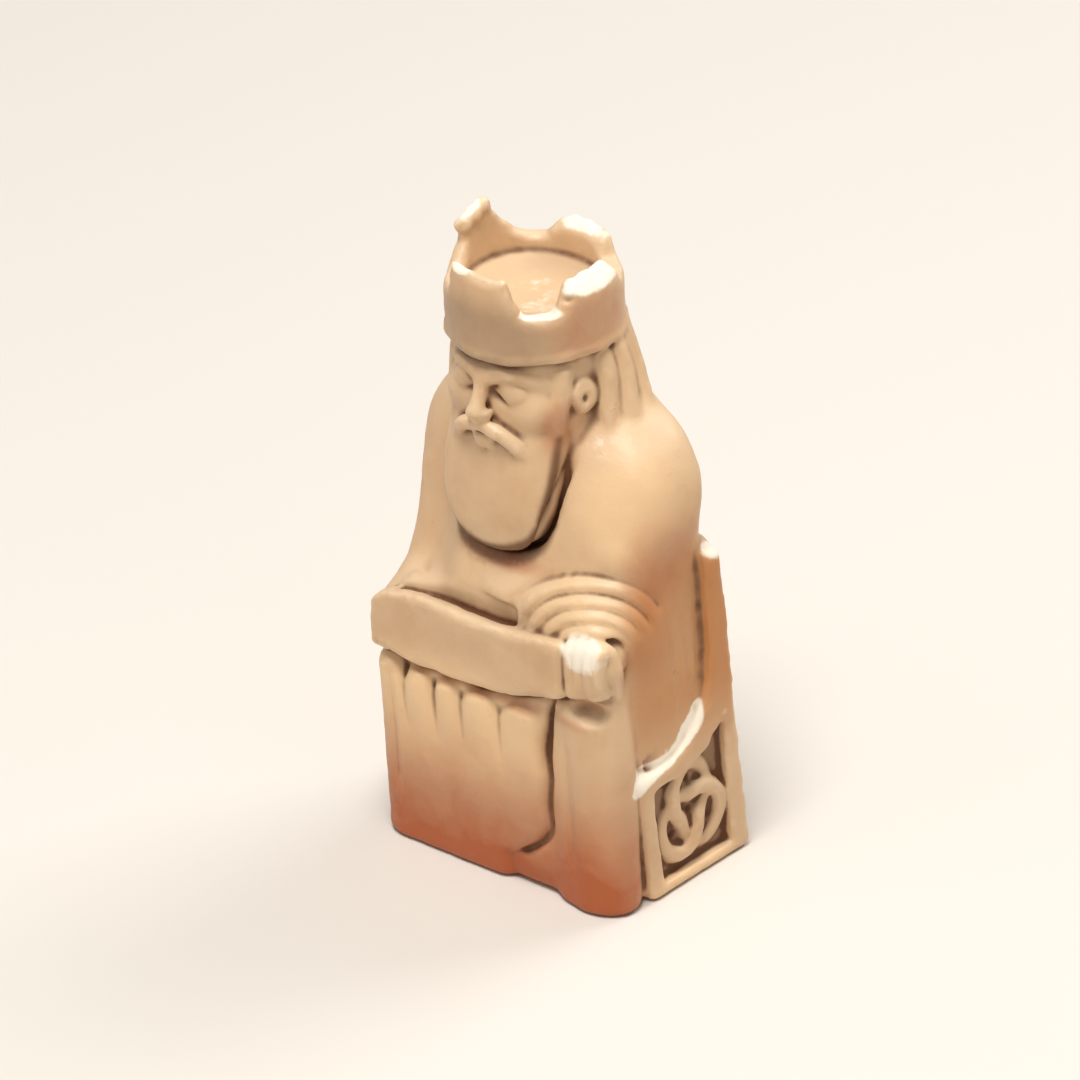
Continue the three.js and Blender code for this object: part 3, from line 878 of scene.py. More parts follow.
@dataclass
class Throne:
    """Throne: side panels under sweeping arm rails, and a leaning framed back."""

    plate: float = 3.0
    post: float = 2.7
    rear_post: float = 2.9
    rail: float = 2.4
    sill: float = 1.6
    sink: float = 1.4
    proud: float = 0.12
    tip_level: float = 16.6
    foot_front: float = -5.1
    rail_line: Table = ((-6.6, 16.6), (-3, 16.6), (0, 17.0), (2.5, 18.3), (4.5, 20.0), (5.7, 21.8),
                        (6.4, 24.4), (6.8, 28.1), (6.9, 40.6))
    back_top: float = 41.6
    back_inset: float = 0.35
    lean: float = 2.4
    below: float = -1.0
    hole: Point = (0.9, 0.42, 0.42)
    panel_box: Box = ((15, -9, -1), (SIDE + 1.2, 13.2, 43))
    field_box: Box = ((15, -6, 0), (SIDE + 1.2, 10, 20))
    roll: Limb = Limb(
        ((18, -5.5, 15.8), (18.1, -3.6, 15.6), (18.1, -0.8, 15.8), (18.1, 2.0, 17.0),
         (18.1, 4.2, 18.9), (17.9, 6.2, 21.4), (17.5, 7.3, 24)),
        (1.5, 1.15, 1.05, 1.05, 1.1, 1.1, 0.8), ((15, -9, 12), (SIDE + 1.2, 10, 27)), 0.6)
    scroll: Lump = Lump((18.5, 8.6, 18.9), (1.15, 1.0, 1.0), box_round((18.5, 8.6, 18.9), 2.5), 0.3)

    def leant(self, y: Field, z: Field) -> Field:
        """Y with the back's lean taken off."""
        return y + self.lean * z / self.back_top

    def sunk(self, points: Field) -> Field:
        """How much each point lies on the floor of a panel.

        Args:
            points: places on the casting.

        Returns:
            Shares from 0 to 1, with the back's panel at half.
        """
        x, y, z = points.T
        out, leant = np.abs(x), self.leant(y, z)
        beside = ramp(0.85, 1.3, SIDE - out) * (out > SIDE - 2.4)
        beside = beside * (z < 19) * (y > -4.5) * (y < 9.6)
        behind = 0.5 * ramp(0.85, 1.3, BACK - leant) * (leant > BACK - 2.4)
        behind = behind * (out < SIDE - 2.5) * (z > 3) * (z < 39)
        return np.maximum(beside, behind)

    def arm_outline(self) -> list[Span]:
        """Outline of a side panel in Y-Z."""
        return [(self.foot_front, self.below), (self.foot_front, 0.0), *self.rail_line,
                (BACK - self.lean, self.rail_line[-1][1]), (BACK, 0.0), (BACK, self.below)]

    def field_ends(self) -> Span:
        """Y of the front and back ends of a side panel's sunk field."""
        return self.rail_line[0][0] + self.post, BACK - self.rear_post

    def field_outline(self) -> list[Span]:
        """Outline of a side panel's sunk field in Y-Z."""
        (near, far), top = self.field_ends(), self.tip_level - self.rail
        return [(near + 1.1, self.sill), (near, top), ((near + far) / 2 - 1.2, top + 0.4),
                (far - 3.4, top + 1.6), (far - 0.6, top + 4.4), (far, self.sill)]

    def back_outline(self) -> list[Span]:
        """Outline of the back in X-Z.

        Returns:
            Its corners, with the upper ones cut off.
        """
        half, top = SIDE - self.back_inset, self.back_top
        corner = ((half - 2.6, top), (half - 1.2, top - 0.6), (half - 0.5, top - 2.2), (half, -1))
        return [*((-x, z) for x, z in reversed(corner)), *corner]

    def side(self, clay: Clay, hand: Hand) -> None:
        """Adds one side panel with its rail, field, knot and holes.

        Args:
            clay: what it is added to.
            hand: which side it is on.
        """
        across = hand.value
        middle = SIDE - self.plate / 2

        def panel(x: Field, y: Field, z: Field) -> Field:
            """Distance to the panel's plate."""
            flat = outline_gap(y, z, self.arm_outline())
            return slab(flat, across * x - middle, self.plate / 2, 0.45)

        def field(x: Field, y: Field, z: Field) -> Field:
            """Distance to the plug that sinks the panel's field."""
            flat = outline_gap(y, z, self.field_outline())
            return slab(flat, across * x - SIDE - 1, 1 + self.sink, 0.3)

        clay.add(panel, box_on(hand, self.panel_box), 0.25)
        clay.put(self.roll.on(hand))
        clay.cut(field, box_on(hand, self.field_box), 0.25)
        near, far = self.field_ends()
        top = self.tip_level - self.rail
        knot = Knot("side_knot", (top - self.sill) / 2 + 0.9, (far - near) / 2 - 0.2)
        centre = Vector((across * (SIDE - self.sink + self.proud), (near + far) / 2 + 0.3,
                         (top + self.sill) / 2 + 0.7))
        turn = Matrix(((0, 0, across), (0, -1, 0), (1, 0, 0))).to_4x4()
        clay.press(knot.made(Matrix.Translation(centre) @ turn), (across, 0, 0))
        for u, v in knot.gaps():
            spot = (across * (SIDE - self.sink), centre.y - v, centre.z + u)
            clay.dig(Lump(spot, self.hole, box_round(spot, 1.5), 0.1))
        clay.put(self.scroll.on(hand))

    def back(self, clay: Clay) -> None:
        """Adds the leaning back with its frame, sunk field and knot.

        Args:
            clay: what it is added to.
        """
        reach = SIDE - self.rear_post
        low, high = 2 * self.sill, self.back_top - self.rear_post
        hollow = [(-reach, low), (-reach, high), (reach, high), (reach, low)]

        def board(x: Field, y: Field, z: Field) -> Field:
            """Distance to the leaning board."""
            flat = outline_gap(x, z, self.back_outline())
            return slab(flat, self.leant(y, z) - BACK + self.plate / 2, self.plate / 2, 0.5)

        def field(x: Field, y: Field, z: Field) -> Field:
            """Distance to the plug that sinks the board's field."""
            flat = outline_gap(x, z, hollow)
            return slab(flat, self.leant(y, z) - BACK - 1, 1 + self.sink, 0.35)

        clay.add(board, wide_box(5, -1, 13.2, 44), 0.3)
        clay.cut(field, ((-18, 6, 1), (18, 13.2, 40)), 0.3)
        knot = Knot("back_knot", 15.4, 12.9, waves=5, steps=420)
        middle = (low + high) / 2
        slope = self.lean / self.back_top
        shear = Matrix(((0, 1, 0), (-slope, 0, 1), (1, 0, 0))).to_4x4()
        face = BACK - self.sink + self.proud - self.lean * middle / self.back_top
        clay.press(knot.made(Matrix.Translation((0, face, middle)) @ shear), (0, 1, 0))

    def shape(self, clay: Clay) -> None:
        """Adds the whole throne.

        Args:
            clay: what it is added to.
        """
        self.back(clay)
        for hand in Hand:
            self.side(clay, hand)


@dataclass
class Robe:
    """Robe over the knees and shins: a pleated front cloth beside the left leg."""

    knee_level: float = 31.0
    half: float = 18.3
    front: float = FRONT + 1.4
    back: float = 8
    cloth_left: float = -18.3
    cloth_right: Table = ((3.4, 2.6), (4.4, 4.2), (5.4, 5.6), (6.4, 6.9), (8, 8.0), (11.5, 8.5),
                          (19.5, 8.6), (23.5, 9.0), (26, 9.6))
    cloth_proud: float = 0.5
    cloth_top: float = 27.0
    cloth_back: float = -7.5
    corners: Span = (2.0, 4.5)
    valleys: Sequence[float] = (-18.0, -12.6, -7.9, -3.8, 2.1, 9.2)
    pleat_depth: float = 1.15
    crease: float = -14.6
    crease_depth: float = 0.45
    leg: Limb = Limb(
        ((14.4, -7.9, 26.6), (14.6, -7.9, 22), (14.7, -8.0, 12), (14.2, -8.2, -4)),
        (4.2, 4.6, 4.7, 4.8), ((7, NEAR, -1), (EDGE, -3, 33)), 0.5, (1, 0.76, 1))
    inner_leg: Limb = Limb(
        ((11.8, -8.6, 26.0), (11.7, -8.6, 14), (11.2, -8.7, -3)), (2.1, 2.3, 2.4),
        ((7, NEAR, -1), (17, -3, 30)), 1.0)

    def lobes(self, x: Field, z: Field) -> Field:
        """How far the pleats stand out of the cloth.

        Args:
            x: places across the cloth.
            z: levels.

        Returns:
            Amounts above 0 on the pleats and below 0 in the valleys.
        """
        drawn = x + 0.03 * (z - 22) + 0.15 * np.sin(0.4 * z)
        share = np.interp(drawn, self.valleys, np.arange(len(self.valleys))).astype(np.float32)
        bow = np.abs(np.sin(math.pi * share))
        deep = self.pleat_depth * (0.06 + 0.94 * ramp(12, 23.5, z))
        top = 24.5 - 2.2 * (1 - bow) ** 1.5
        crease = self.crease_depth * bell(x - self.crease, 0.55)
        crease = crease * ramp(6, 9, z) * (1 - ramp(22, 24, z))
        return deep * (bow**0.55 - 0.5) - crease - 1.7 * ramp(top - 0.9, top + 0.7, z)

    def cloth(self, x: Field, y: Field, z: Field) -> Field:
        """Distance to the front cloth with its pleats.

        Args:
            x, y, z: places on the grid.

        Returns:
            The distances.
        """
        right = eased(self.cloth_right, z)
        middle, half = (right + self.cloth_left) / 2, (right - self.cloth_left) / 2
        gap = self.front - self.cloth_proud - self.lobes(x, z) - y
        gap = pare(gap, x - middle - half, self.corners[0])
        gap = pare(gap, middle - half - x, self.corners[1])
        return np.maximum(pare(gap, z - self.cloth_top + 0 * x, 0.8), y - self.cloth_back)

    def seam(self, x: Field, y: Field, z: Field) -> Field:
        """Distance to the deep seam between the cloth and the leg.

        Args:
            x, y, z: places on the grid.

        Returns:
            The distances.
        """
        edge = eased(self.cloth_right, z) + 0.3 + 0.12 * np.sin(0.9 * z)
        wide = 0.48 + 0.08 * ramp(14, 20, z) + 0.3 * (1 - ramp(6.5, 9, z))
        ends = np.maximum(z - 26.5, 4.2 - z)
        floor = y + 9.9 - 0.5 * ramp(12, 24, z) + 0 * x
        return np.maximum(np.abs(x - edge) - wide, np.maximum(floor, ends))

    def drape(self, x: Field, y: Field, z: Field) -> Field:
        """How far two soft folds sink into the robe over the leg.

        Args:
            x, y, z: places on the grid.

        Returns:
            Amounts below 0 in the folds.
        """
        wander = 0.5 * np.sin(0.16 * z + 1.0)
        folds = bell(x - 12.4 - wander, 0.7) + 0.8 * bell(x - 16.4 + wander, 0.8)
        return -0.3 * folds * ramp(3, 9, z) * (1 - ramp(20, 26, z)) * ramp(-6.5, -8.5, y)

    def shape(self, clay: Clay) -> None:
        """Adds the robe, the cloth, the left leg and the seam.

        Args:
            clay: what they are added to.
        """
        body = loft(steady(self.half), steady(self.front), steady(self.back),
                    (-3, self.knee_level), (3.9, 4.5), 7)
        clay.add(body, wide_box(NEAR, -1, 12, 34), 0)
        clay.add(self.cloth, ((-EDGE, NEAR, -1), (14, -6, 30)), 0.25)
        clay.put(self.leg, self.inner_leg)
        clay.cut(self.seam, ((2, NEAR, 0.8), (13, -8, 28)), 0.5)
        clay.push(self.drape, ((10, NEAR, 1), (EDGE, -4, 28)))


@dataclass
class Mantle:
    """Mantle over the shoulders, arms and sides, with the left sleeve in rings round the cuff."""

    width: Table = ((24, 17), (33, 17.8), (42, 18.7), (48, 19.2), (52, 18.4), (55.6, 15.9),
                    (58.5, 11.9), (61.5, 9.3), (65, 7))
    near: Table = ((24, -10.4), (33, -10.4), (36, -9.7), (42, -7.6), (49, -5.8), (54, -3.6),
                   (59, -0.2), (63, 2))
    far: Table = ((24, 8), (40, 8), (45, 10.0), (53, 10.7), (59, 9.6), (65, 7.4))
    levels: Span = (24, 65)
    hang_levels: Span = (14.5, 46)
    hang_middle: float = 14.1
    cuff: Point = (16.4, -9.5, 33.0)
    cuff_stretch: Span = (1.32, 0.92)
    rings: Sequence[float] = (9.9, 7.9, 6.35, 4.75, 3.5)
    set_back: float = 3.8
    set_in: float = 1.1
    chest: Limb = Limb(((2, -8.4, 36.5), (7, -7.8, 37.2), (12, -6.0, 38)), (1.6, 2.2, 2.2),
                       ((-3, NEAR, 31), (17, -1, 43)), 2.5)
    elbow: Lump = Lump((12.2, -3.0, 33.2), (6.2, 5.2, 8.2), ((1, NEAR, 22), (EDGE, 5, 44)), 3.0)
    sleeve: Limb = Limb(((12.4, -3.2, 35.2), (13.7, -5.3, 35.1), (15.1, -7.3, 34.5)),
                        (5.7, 4.8, 3.5), ((3, NEAR, 24), (EDGE, 6, 44)), 2.4, (1, 1, 1.04))
    upper_arm: Limb = Limb(((-11.6, 3.0, 52), (-13.4, 1.6, 43), (-14.3, -1.2, 35)),
                           (3.3, 3.3, 3.2), ((-EDGE, -8, 28), (-5, 9, 58)), 2.2)
    forearm: Limb = Limb(((-14.3, 0.0, 33.4), (-14.4, -5, 31.4), (-14.6, -9.0, 29.8)),
                         (3.3, 3.1, 2.5), ((-EDGE, NEAR, 25), (-8, 5, 40)), 1.6)
    throne_gap: Limb = Limb(((19.6, 3.9, 21.8), (19.6, 5.6, 25), (19.6, 6.1, 31), (19.4, 6.2, 42)),
                            (0.35, 0.55, 0.6, 0.5), ((14, 2, 20), (EDGE, 8, 44)), 0.4, (2.4, 1, 1))

    def held_back(self, shape: Shape) -> Shape:
        """Holds the right shoulder of a shape back and in.

        Args:
            shape: the shape.

        Returns:
            The shape after the move.
        """

        def moved(x: Field, y: Field, z: Field) -> Field:
            """Distance to the shape after the move."""
            share = ramp(4, 13, -x) * ramp(30, 38, z) * np.clip((9 - y) / 14, 0, 1)
            return shape(x - self.set_in * share, y - self.set_back * share, z)

        return moved

    def hanging(self, hand: Hand) -> Shape:
        """Cloth that hangs down one side, inside the throne's rail.

        Args:
            hand: which side it is on.

        Returns:
            The cloth.
        """

        def half(z: Field) -> Field:
            """Half width of the cloth at each level."""
            return 4.5 - 0.02 * (z - 15)

        strip = loft(half, steady(-5.2), steady(8.8), self.hang_levels, (3.4, 4.5), 3)

        def beside(x: Field, y: Field, z: Field) -> Field:
            """Distance to the cloth where it hangs."""
            return strip(hand.value * x - self.hang_middle, y, z)

        return self.held_back(beside)

    def ring_place(self, x: Field, y: Field, z: Field) -> Field:
        """Distance from the cuff, stretched as the sleeve's rings are."""
        sideways = (x - self.cuff[0]) / np.where(x < self.cuff[0], *self.cuff_stretch)
        return np.sqrt(sideways**2 + (y - self.cuff[1]) ** 2 + (z - self.cuff[2]) ** 2)

    def ring_rolls(self, x: Field, y: Field, z: Field) -> Field:
        """How far the sleeve's soft rolls stand out, with a groove before each.

        Args:
            x, y, z: places on the grid.

        Returns:
            Amounts above 0 on the rolls and below 0 in the grooves.
        """
        place = self.ring_place(x, y, z)
        total = 0 * place
        for k, ring in enumerate(self.rings):
            deep, wide = (0.5, 0.42) if k else (0.42, 0.55)
            total = total - deep * bell(place - ring, wide)
            total = total + 0.3 * bell(place - ring + 0.9, 0.7)
        aim = z - self.cuff[2] - 0.35 * (y - self.cuff[1])
        return total * (1 - ramp(10.2, 11.4, place)) * ramp(-0.6, 1.8, aim)

    def side_folds(self, x: Field, y: Field, z: Field) -> Field:
        """How far the folds sink in between the arms and the throne's back.

        Args:
            x, y, z: places on the grid.

        Returns:
            Amounts below 0 in the folds.
        """
        out = np.abs(x)
        drawn = y + 0.09 * (z - 28) + 0.5 * np.sin(0.13 * z)
        folds = 0.28 * bell(drawn - 1.6, 0.6) + 0.16 * bell(drawn - 4.0, 0.5)
        folds = -folds * ramp(14.5, 16.5, out) * ramp(17, 22, z)
        return folds * (1 - ramp(27, 40, z)) * (1 - ramp(5, 6.2, y))

    def back_folds(self, x: Field, y: Field, z: Field) -> Field:
        """How far soft folds stand out where they hang from under the hair.

        Args:
            x, y, z: places on the grid.

        Returns:
            Amounts above 0 on the folds and below 0 between them.
        """
        out = np.abs(x)
        drawn = out * (1 + 0.02 * (z - 46)) + 0.4 * np.sin(0.3 * z)
        folds = 0.35 * np.cos(drawn * 1.15) * ramp(5, 8, y) * ramp(39, 42, z)
        return folds * (1 - ramp(50, 57, z)) * (1 - ramp(12, 16, out))

    def shape(self, clay: Clay) -> None:
        """Adds the trunk, the sides, the arms and their folds.

        Args:
            clay: what they are added to.
        """
        trunk = loft(curve(self.width), curve(self.near), curve(self.far), self.levels,
                     (2.7, 4.2), 3)
        clay.add(self.held_back(trunk), wide_box(NEAR, 22, FAR, 67), 0.5)
        for hand in Hand:
            clay.add(self.hanging(hand), box_on(hand, ((7, -8, 12), (EDGE, 11, 49))), 1.2)
        clay.put(self.chest, self.elbow, self.sleeve, self.upper_arm, self.forearm)
        clay.push(self.side_folds, wide_box(-6, 14, 10, 47))
        clay.push(self.back_folds, wide_box(3, 38, FAR, 58))
        for hand in Hand:
            clay.dig(self.throne_gap.on(hand))
        clay.push(self.ring_rolls, ((0, NEAR, 29), (EDGE, 3, 46)))


@dataclass
class SwordAndHands:
    """Sheathed sword across the knees, under the left fist and the right hand."""

    ends: Span = (-16.8, 15.0)
    upper: Table = ((-17, 31.4), (-15, 33.0), (-12.5, 33.9), (0, 34.3), (6, 34.6), (15, 35.4))
    lower: Table = ((-17, 26.9), (-15, 26.2), (-12.5, 25.3), (-6, 25.1), (0, 25.2), (5, 25.9),
                    (9, 26.9), (15, 28.1))
    thickness: float = 2.3
    rounding: float = 0.5
    mouth: float = 13.1
    lap: Limb = Limb(((-12, -8.4, 33.0), (-4, -8.4, 33.4), (6, -8.2, 33.9), (12, -7.6, 34.6)),
                     (1.7, 1.9, 1.9, 1.8), ((-15, NEAR, 29), (16, -4, 39)), 2.0)
    blunt: Lump = Lump((-17.6, -12.6, 30.6), (1.5, 1.5, 1.5), ((-20, NEAR, 27), (-14, -9, 34)), 0.5)
    fist: Point = (15.9, -9.2, 32.4)
    fist_box: Box = ((9, NEAR, 24), (EDGE, -2, 39))
    knuckle: float = 1.42
    heel: Limb = Limb(((18.3, -8.9, 34.6), (18.7, -8.6, 31.8), (18.4, -7.9, 29.2)),
                      (0.85, 1.0, 0.8), ((14.5, NEAR, 24), (EDGE, -4, 38)), 0.3)
    thumb: Limb = Limb(((17.6, -9.5, 29.8), (17.8, -9.6, 32.4)), (0.9, 0.9),
                       ((9, NEAR, 24), (EDGE, -2, 39)), 0.3)
    wrist_hollow: Lump = Lump((19.9, -6.2, 31.6), (1.4, 0.8, 2.6), ((15, -8.5, 27), (EDGE, -2, 36)),
                              0.5)
    right_finger: float = -16.4
    right_pitch: float = 1.45

    def sheath(self, x: Field, y: Field, z: Field) -> Field:
        """Distance to the flat band, with softened edges and a blunt far end.

        Args:
            x, y, z: places on the grid.

        Returns:
            The distances.
        """
        top, foot = eased(self.upper, x), eased(self.lower, x)
        middle, half = sum(self.ends) / 2, (self.ends[1] - self.ends[0]) / 2
        deep = self.thickness / 2
        level = np.abs(z - (top + foot) / 2) - (top - foot) / 2
        past = (np.abs(x - middle) - half + self.rounding,
                np.abs(y - (FRONT + deep)) - deep + self.rounding, level + self.rounding)
        outside = np.sqrt(sum(np.maximum(part, 0) ** 2 for part in past))
        inside = np.maximum(np.maximum(past[0], past[1]), past[2])
        return outside + np.minimum(inside, 0) - self.rounding

    def undercut(self, x: Field, y: Field, z: Field) -> Field:
        """Distance to the groove under the sword."""
        return np.hypot(z - eased(self.lower, x) + 0.2, (y + 11.2) / 1.6) - 0.9

    def behind(self, x: Field, y: Field, z: Field) -> Field:
        """Distance to the step and slot behind the sword, which close towards the fist.

        Args:
            x, y, z: places on the grid.

        Returns:
            The distances.
        """
        above, close = eased(self.upper, x) - z, ramp(2.5, 8.0, x)
        step = np.maximum(y + 9.5 + 1.8 * close, above - 0.05)
        slot = np.maximum(np.abs(y + 9.85) - 0.38 + 0.55 * close, above - 0.8)
        return np.minimum(step, slot)

    def mouth_line(self, x: Field, y: Field, z: Field) -> Field:
        """How far the line at the sheath's mouth sinks in."""
        return -0.8 * bell(x - self.mouth, 0.36) * ramp(-9.8, -11.2, y) + 0 * z

    def shape(self, clay: Clay) -> None:
        """Adds the sword and both hands.

        Args:
            clay: what they are added to.
        """
        clay.cut(self.undercut, ((-18.5, NEAR, 22), (14.5, -9, 31)), 0.5)
        clay.put(self.lap)
        clay.add(self.sheath, ((-18.5, NEAR, 24), (17, -8, 37)), 0.2)
        clay.cut(self.behind, ((-13.0, NEAR, 31), (8.5, -7, 37)), 0.4)
        clay.push(self.mouth_line, ((11, NEAR, 27), (14.4, -9, 36)))
        clay.dig(self.blunt)
        self.left_fist(clay)
        for k in range(3):
            x = self.right_finger + self.right_pitch * k
            line = ((x, -7.5, 27.4), (x, -9.6, 26.1), (x, -10.9, 25.9), (x, -11.6, 26.5))
            clay.put(Limb(line, (1.0, 0.95, 0.85, 0.6), ((x - 3, NEAR, 22), (x + 3, -4, 31)), 0.2))

    def left_fist(self, clay: Clay) -> None:
        """Adds the fist that grips the sword, with the hollow of the sleeve behind it.

        Args:
            clay: what it is added to.
        """
        (x0, y0, z0), box = self.fist, self.fist_box
        clay.dig(Lump((x0 + 0.6, y0 - 1.8, z0 - 5.6), (3.9, 2.0, 1.6), box, 0.6),
                 Lump((x0 + 1.0, y0 + 1.0, z0 + 0.2), (3.4, 2.4, 3.6), box, 0.6))
        clay.put(Limb(((15.0, -6.0, 34.0), (x0 + 0.2, y0 + 0.9, z0 + 0.4)), (2.9, 2.8), box, 0.5),
                 Lump((x0, y0 - 0.1, z0 + 0.2), (3.1, 2.1, 3.4), box, 0.5))
        for k in range(4):
            x, bow = x0 + (k - 1.5) * self.knuckle, 0.3 * abs(k - 1.5)
            line = ((x, y0 - 0.2, z0 + 3.3 - bow), (x, y0 - 1.6 + bow / 2, z0 + 2.3),
                    (x, y0 - 1.95 + bow / 2, z0 - 0.6),
                    (x + 0.05, y0 - 1.4 + bow / 2, z0 - 3.5 + bow))
            clay.put(Limb(line, (0.8, 0.85, 0.8, 0.7), ((x - 3, NEAR, 25), (x + 3, -6, 39)), 0.15))
        clay.put(Lump((x0 + 0.2, y0 - 0.5, z0 + 2.6), (2.6, 1.6, 1.0), box, 0.5))
        for k in range(3):
            x = x0 + (k - 1) * self.knuckle
            line = ((x, y0 - 0.9, z0 + 4.0), (x, y0 - 2.4, z0 + 2.6), (x, y0 - 2.6, z0 - 3.0))
            clay.dig(Limb(line, (0.2, 0.34, 0.3), ((x - 2, NEAR, 27), (x + 2, -8, 38)), 0.3))
        clay.put(self.heel, self.thumb)
        clay.dig(self.wrist_hollow)


@dataclass
class Head:
    """Upright head with a calm, regular face, long beard, ears and hair."""

    half: Span = (9.1, 9.0)
    middle: float = 1.0
    brow: float = 65.2
    eye: float = 63.0
    nose: float = 59.8
    mouth: float = 57.0
    face_box: Box = ((-10, NEAR, 50), (10, 2, 70))
    beard_width: Table = ((42.3, 2.4), (43, 4.2), (44.3, 5.7), (46.8, 7.0), (50, 7.7), (57, 8.2),
                          (61, 8.0))
    beard_front: Table = ((42.3, -9.1), (46, -9.3), (52, -8.9), (57, -8.0), (61, -6.8))
    beard_thickness: float = 2.9
    strand_pitch: float = 1.5
    strand_depth: float = 0.055
    hair_width: Table = ((54, 15), (59, 11.9), (64, 10.3), (69, 9.3))
    hair_ends: Span = (-1.2, 10.4)
    brow_arch: Line = ((0.9, -0.7, 0.1), (3.7, 0.1, 0.1), (7, -1.3, -0.3))
    lid_arch: Line = ((1.7, -0.1, -0.35), (3.5, 1.0, 0.35), (5.5, -0.1, -0.4))
    droop: Line = ((0.2, 1.6, 0.9), (2.4, 1.1, 1.0), (4.4, -0.6, 0.8), (5.6, -2.8, 0.7))
    bridge: Line = ((0, -7.9, 65.0), (0, -8.7, 62.6), (0, -9.7, 60.4))
    ear_box: Box = ((5, -7, 56), (13, 4, 67))
    ear: Point = (9.0, -0.9, 61.7)
    side_locks: Sequence[Line] = (
        ((8.9, 2.0, 67.6), (9.6, 2.2, 63.5), (10.4, 1.6, 59.5), (11.4, 0.8, 55.8)),
        ((8.8, 4.4, 67.6), (10.2, 4.6, 63), (11.6, 3.9, 58.5), (12.9, 3.3, 54.2)),
        ((8.0, 7.0, 67.6), (9.5, 7.3, 62.6), (11.3, 6.8, 57.6), (12.9, 6.2, 52.6)))
    lock_widths: Sequence[float] = (1.0, 1.25, 1.2, 0.6)
    lock_box: Box = ((6, -6, 49), (17, 11, 69))
    temple: Limb = Limb(((7.9, -2.8, 67.0), (8.1, -3.4, 63.5), (7.7, -4.2, 58.5)), (0.9, 1.0, 0.9),
                        ((6, -8, 56), (17, 2, 69)), 0.9)

    def spot(self, x: float, z: float, proud: float) -> Point:
        """Point on the front of the head, standing proud of it."""
        rise = self.half[1] * math.sqrt(1 - (x / self.half[0]) ** 2)
        return (x, self.middle - rise - proud, z)

    def arched(self, hand: Hand, level: float, arch: Line, rise: float = 1) -> Line:
        """Line over the face.

        Args:
            hand: which side of the face it is on.
            level: the level that it is drawn from.
            arch: for each point, how far out, how far above the level and how proud it is.
            rise: factor on the height above the level.

        Returns:
            The line's points.
        """
        return [self.spot(hand.value * out, level + up * rise, proud) for out, up, proud in arch]

    def half_face(self, clay: Clay, hand: Hand) -> None:
        """Adds one brow, eye and cheek, and half of the moustache.

        Args:
            clay: what they are added to.
            hand: which side of the face they are on.
        """
        across, box = hand.value, self.face_box
        x, y, z = eye = self.spot(across * 3.5, self.eye, -0.55)
        clay.dig(Lump((x, y - 1.5, z - 0.1), (2.5, 1.7, 1.55), box, 0.9))
        brow = self.arched(hand, self.brow, self.brow_arch)
        clay.put(Limb(brow, (0.62, 0.72, 0.4), box, 0.9), Lump(eye, (1.75, 1.15, 1.0), box, 0.15))
        for rise, wide in ((0.95, 0.34), (-0.9, 0.3)):
            lid = self.arched(hand, self.eye, self.lid_arch, rise)
            clay.put(Limb(lid, (0.25, wide, 0.25), box, 0.2))
        droop = self.arched(hand, self.mouth, self.droop)
        clay.put(Lump(self.spot(across * 5.0, 60.4, -1.9), (2.8, 2.6, 2.5), box, 1.6),
                 Limb(droop, (0.7, 0.95, 0.85, 0.4), box, 0.35),
                 Lump((across * 1.05, -8.95, self.nose + 0.35), (0.75, 0.9, 0.7), box, 0.3))

    def features(self, clay: Clay) -> None:
        """Adds the brow, eyes, nose, cheeks, mouth and moustache.

        Args:
            clay: what they are added to.
        """
        for hand in Hand:
            self.half_face(clay, hand)
        clay.put(Limb(self.bridge, (0.75, 0.9, 1.15), self.face_box, 0.5))
        for level, wide in ((self.mouth - 0.1, 1.7), (self.mouth - 0.95, 1.4)):
            clay.put(Lump((0, -8.5, level), (wide, 0.7, 0.45), self.face_box, 0.3))

    def beard_back(self, z: Field) -> Field:
        """Y of the beard's back at each level."""
        return eased(self.beard_front, z) + (self.beard_thickness + 8 * ramp(46, 61, z))

    def groove(self, x: Field, y: Field, z: Field) -> Field:
        """Distance to the groove that frees the beard from the chest.

        Args:
            x, y, z: places on the grid.

        Returns:
            The distances.
        """
        width = eased(self.beard_width, np.clip(z, 45.5, 61)) + 0.35
        under = np.hypot(x, np.maximum(46.0 - z, 0) * 1.75)
        return np.maximum(np.abs(under - width) - 0.5, y + 4.6 - 0.13 * (z - 42))

    def strands(self, x: Field, y: Field, z: Field) -> Field:
        """How far the beard's fine strands stand out.

        Args:
            x, y, z: places on the grid.

        Returns:
            Amounts above 0 on the strands and below 0 between them.
        """
        drawn = x * (1 + 0.012 * (61 - z)) + 0.35 * np.sin(0.42 * z + 0.5 * x)
        waves = -self.strand_depth * np.cos(2 * math.pi * drawn / self.strand_pitch)
        return waves * ramp(-4.5, -6.5, y) * (1 - ramp(54, 57, z))

    def beard(self, clay: Clay) -> None:
        """Adds the beard, a long tongue that stands off the chest.

        Args:
            clay: what it is added to.
        """
        body = loft(curve(self.beard_width), curve(self.beard_front), self.beard_back,
                    (42.2, 61), (2.1, 2.4), 1.6)
        clay.cut(self.groove, ((-12, -12, 40.4), (12, 2, 58)), 0.7)
        clay.add(body, ((-12, NEAR, 40), (12, 6, 64)), 0.3)
        clay.push(self.strands, ((-12, NEAR, 41), (12, -3, 60)))

